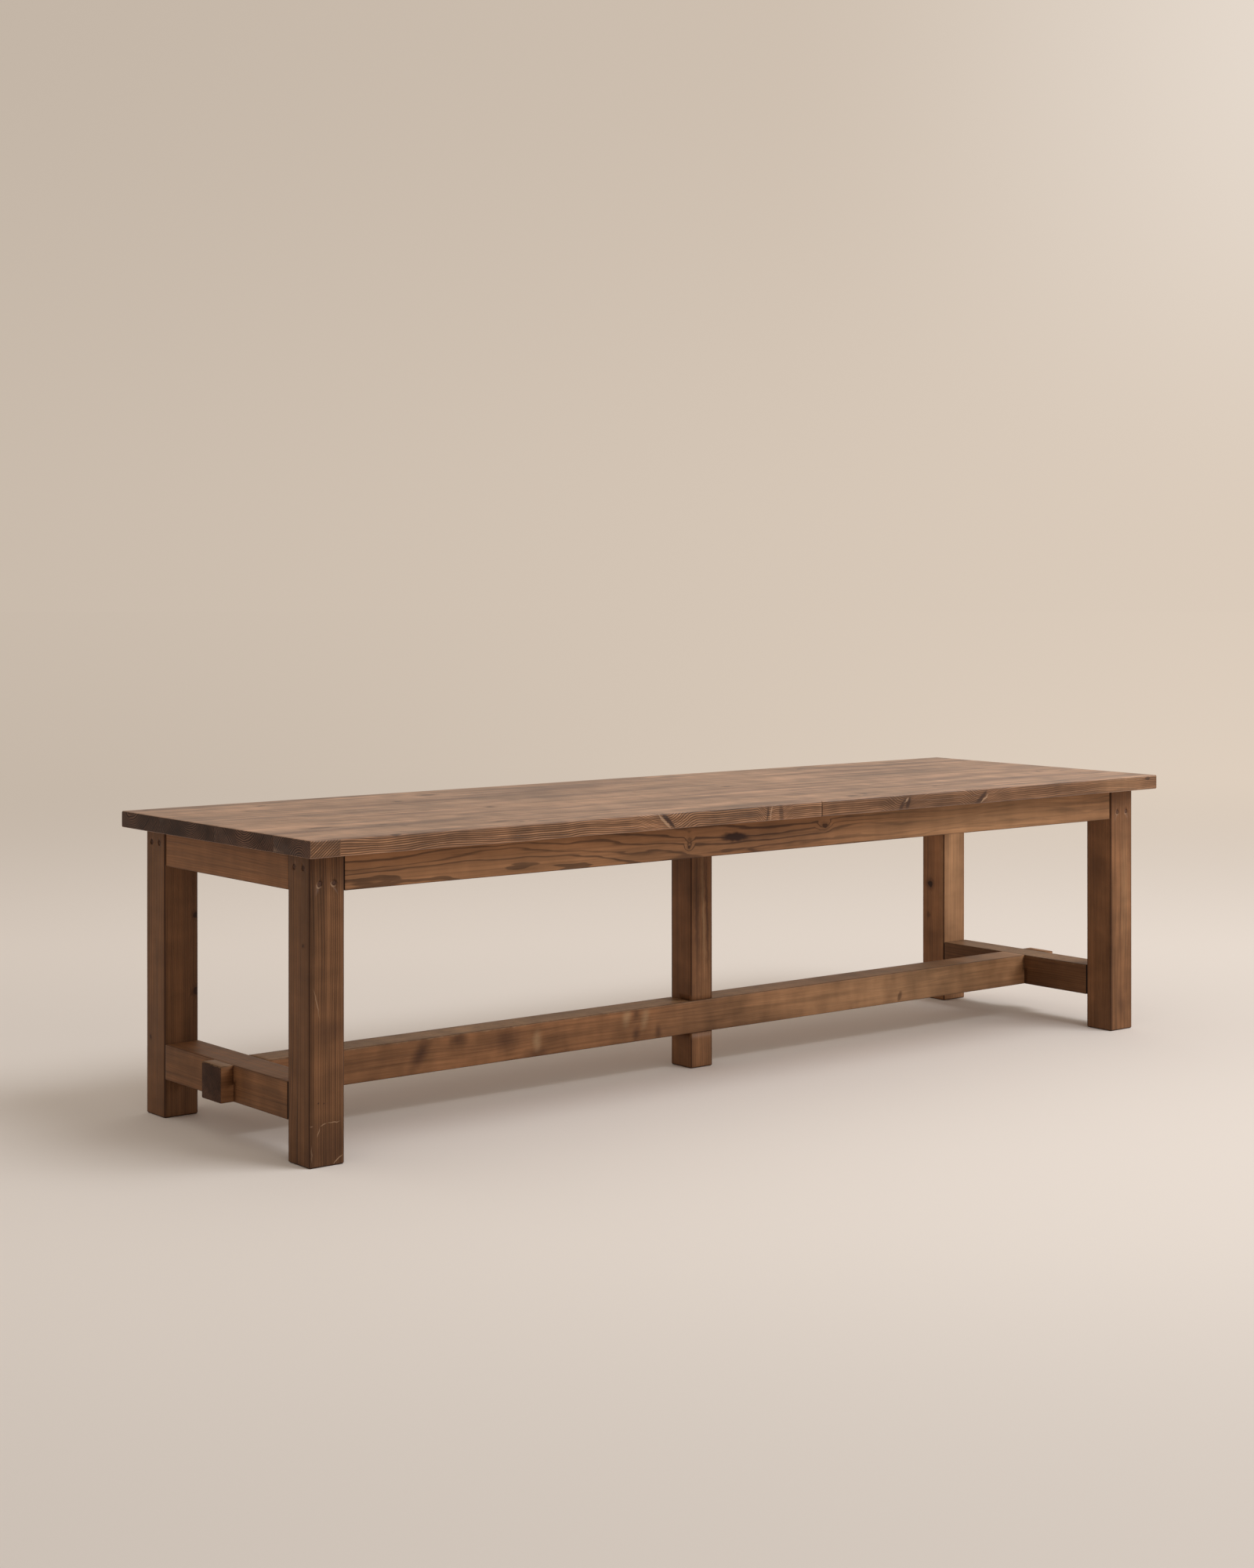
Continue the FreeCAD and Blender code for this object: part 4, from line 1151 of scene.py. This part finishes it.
def screw_tree():
    """A pan-headed screw with a slot across its head; the point says where the head meets the wood."""
    tree, given = new_tree("slotted_screw", SCREW_SIZES)
    sheet = Shade(tree)
    share = sheet.node("GeometryNodeSplineParameter", out="Factor")
    head = turned_pin(sheet, given["Head"], given["Head Height"], share.fade(*SCREW_DOME))
    slot = sheet.node("GeometryNodeMeshCube",
                      inputs={"Size": sheet.join(given["Head"] * 2.0, given["Slot"], given["Head Height"])})
    slotted = sheet.node("GeometryNodeMeshBoolean", {"operation": "DIFFERENCE", "solver": "EXACT"},
                         {"Mesh 1": head, "Mesh 2": slot})
    lift = sheet.join(0.0, 0.0, given["Head Height"])
    lifted = sheet.node("GeometryNodeTransform", inputs={"Geometry": slotted, "Translation": lift})
    shank = turned_pin(sheet, given["Shank"], given["Length"], share.fade(*SCREW_TIP))
    whole = sheet.node("GeometryNodeJoinGeometry", inputs={0: lifted})
    tree.links.new(shank.socket, whole.socket.node.inputs[0])
    set_on_points(tree, given, whole, SCREW_SPIN_SEED)
    return tree


def button_tree():
    """A wooden button, copied from its pattern."""
    tree, given = new_tree("wooden_button", ("Pattern",), "Object")
    pattern = Shade(tree).node("GeometryNodeObjectInfo", inputs={"Object": given["Pattern"]},
                               out="Geometry")
    set_on_points(tree, given, pattern, None)
    return tree


def scatter(node, tree, sizes, spots):
    """One mesh with the tree's shape at every spot, which stands for a CAD node."""
    mesh = bpy.data.meshes.new(node + "_set")
    mesh.from_pydata([spot for spot, turn in spots], [], [])
    turns = mesh.attributes.new("turn", "FLOAT_VECTOR", "POINT")
    turns.data.foreach_set("vector", [angle for spot, turn in spots for angle in turn])
    piece = new_object(node + "_set", mesh)
    modifier = piece.modifiers.new("set", "NODES")
    modifier.node_group = tree
    for socket in tree.interface.items_tree:
        if socket.in_out == "INPUT" and socket.name in sizes:
            modifier[socket.identifier] = sizes[socket.name]
    settle(piece)
    piece.data.set_sharp_from_angle(angle=SMALL_CREASE)
    stand_for(piece, node)


def aimed(facing):
    """The turn that points a shape's own Z axis along a direction."""
    return facing.to_track_quat("Z", "Y").to_euler()


def make_pegs():
    tree = peg_tree()
    spots = [spot for side_x in (-1, 1) for side_y in (-1, 1) for spot in peg_spots(side_x, side_y)]
    sunk = [(spot - facing * PEG_RECESS, facing) for spot, facing in spots]
    rows = (
        ("long_apron_pegs", [(spot, aimed(facing)) for spot, facing in sunk if facing.y], "y", PEG_LENGTH),
        ("end_apron_pegs", [(spot, aimed(facing)) for spot, facing in sunk if facing.x], "x", PEG_LENGTH),
        ("centre_leg_peg", [(CENTRE_PEG, aimed(Vector((1, 0, 0))))], "x", CENTRE_PEG_LENGTH),
    )
    for node, places, grain, length in rows:
        finish = stained_wood(node + "_oak", grain, PEG_PITH, PEG_RING, seed=6.1, tone=1.7,
                              contrast=0.9, wander=0.01)
        scatter(node, tree, {"Diameter": 2 * PEG_RADIUS, "Length": length, "Finish": finish}, places)


make_pegs()


# Buttons and their screws, under the top

BUTTON_PROFILE = ((-0.010, 0.706), (0.048, 0.706), (0.048, 0.733),
                  (0.003, 0.733), (0.003, 0.715), (-0.010, 0.715))
BUTTON_WIDTH = 0.038
BUTTON_EASING = 0.0016
BUTTON_PITH = (0.2, 0.66)
BUTTON_RING = 0.004
LONG_BUTTONS = (-1.150, -1.150 / 3, 1.150 / 3, 1.150)
END_BUTTONS = (-0.140, 0.140)
SCREW_SETBACK = 0.0255
SCREW_HEIGHT = 0.706
ZINC_BRIGHT = (0.52, 0.50, 0.45, 1.0)
ZINC_DULL = (0.36, 0.34, 0.30, 1.0)


def button_pattern():
    """A button whose tongue points along -X, its apron's inner face at the origin."""
    work = bmesh.new()
    near = [work.verts.new((inward, -BUTTON_WIDTH / 2, height)) for inward, height in BUTTON_PROFILE]
    far = [work.verts.new((inward, BUTTON_WIDTH / 2, height)) for inward, height in BUTTON_PROFILE]
    work.faces.new(near)
    work.faces.new(far)
    for i in range(len(near)):
        following = (i + 1) % len(near)
        work.faces.new((near[i], near[following], far[following], far[i]))
    bmesh.ops.recalc_face_normals(work, faces=work.faces)
    outer = [edge for edge in work.edges if edge.calc_face_angle_signed() > 0.1]
    bmesh.ops.bevel(work, geom=outer, offset=BUTTON_EASING, segments=3, profile=0.5, affect="EDGES")
    mesh = new_mesh("button_pattern", work)
    mesh.polygons.foreach_set("use_smooth", [True] * len(mesh.polygons))
    return bpy.data.objects.new("button_pattern", mesh)


def zinc():
    """Zinc plate, dulled in patches."""
    material, sheet = new_material("zinc_plate")
    place = sheet.node("TexCoord", out="Object")
    patches = place.clouds(700.0, 3.0)
    colour = patches.fade(0.35, 0.65).tint(ZINC_BRIGHT, ZINC_DULL)
    finish_material(sheet, colour, patches * 0.25 + 0.22, patches, bump_depth=0.00005, metallic=1.0)
    return material


def make_buttons():
    pattern = button_pattern()
    tree = button_tree()
    quarter = math.pi / 2
    long_places = [((x, side * LONG_FACE, 0.0), (0, 0, -side * quarter))
                   for x in LONG_BUTTONS for side in (-1, 1)]
    end_places = [((side * END_FACE, y, 0.0), (0, 0, quarter * (1 + side)))
                  for y in END_BUTTONS for side in (-1, 1)]
    for node, grain, places in (("long_buttons", "y", long_places), ("end_buttons", "x", end_places)):
        finish = stained_wood(node + "_pine", grain, BUTTON_PITH, BUTTON_RING, seed=8.3,
                              tone=1.3, contrast=0.6)
        scatter(node, tree, {"Pattern": pattern, "Finish": finish}, places)
    bpy.data.objects.remove(pattern)


def make_screws():
    tree = screw_tree()
    sizes = {**SCREW_SIZES, "Finish": zinc()}
    down = aimed(Vector((0, 0, -1)))
    long_row = LONG_FACE - SCREW_SETBACK
    end_row = END_FACE - SCREW_SETBACK
    scatter("long_button_screws", tree, sizes,
            [((x, side * long_row, SCREW_HEIGHT), down) for x in LONG_BUTTONS for side in (-1, 1)])
    scatter("end_button_screws", tree, sizes,
            [((side * end_row, y, SCREW_HEIGHT), down) for y in END_BUTTONS for side in (-1, 1)])


make_buttons()
make_screws()


# Tongues, hidden in the joints of the boards, keep their solids

BARE_PALE = (0.62, 0.45, 0.28, 1.0)
BARE_LINE = (0.48, 0.32, 0.18, 1.0)


def bare_wood():
    """Bare pine, never stained: pale with soft lines along the table."""
    material, sheet = new_material("bare_pine")
    x, y, z = sheet.node("TexCoord", out="Object").split()
    lines = sheet.join(x * 3.0, y * 240.0, z * 240.0).clouds(1.0, 3.0)
    colour = lines.fade(0.3, 0.7).tint(BARE_PALE, BARE_LINE)
    finish_material(sheet, colour, lines * 0.2 + 0.55, lines, bump_depth=0.0002, specular=0.3)
    return material


bare = bare_wood()
for node, solid in frame["nodes"].items():
    if slot_of[node] == "inner_wood":
        solid.data.materials.clear()
        solid.data.materials.append(bare)
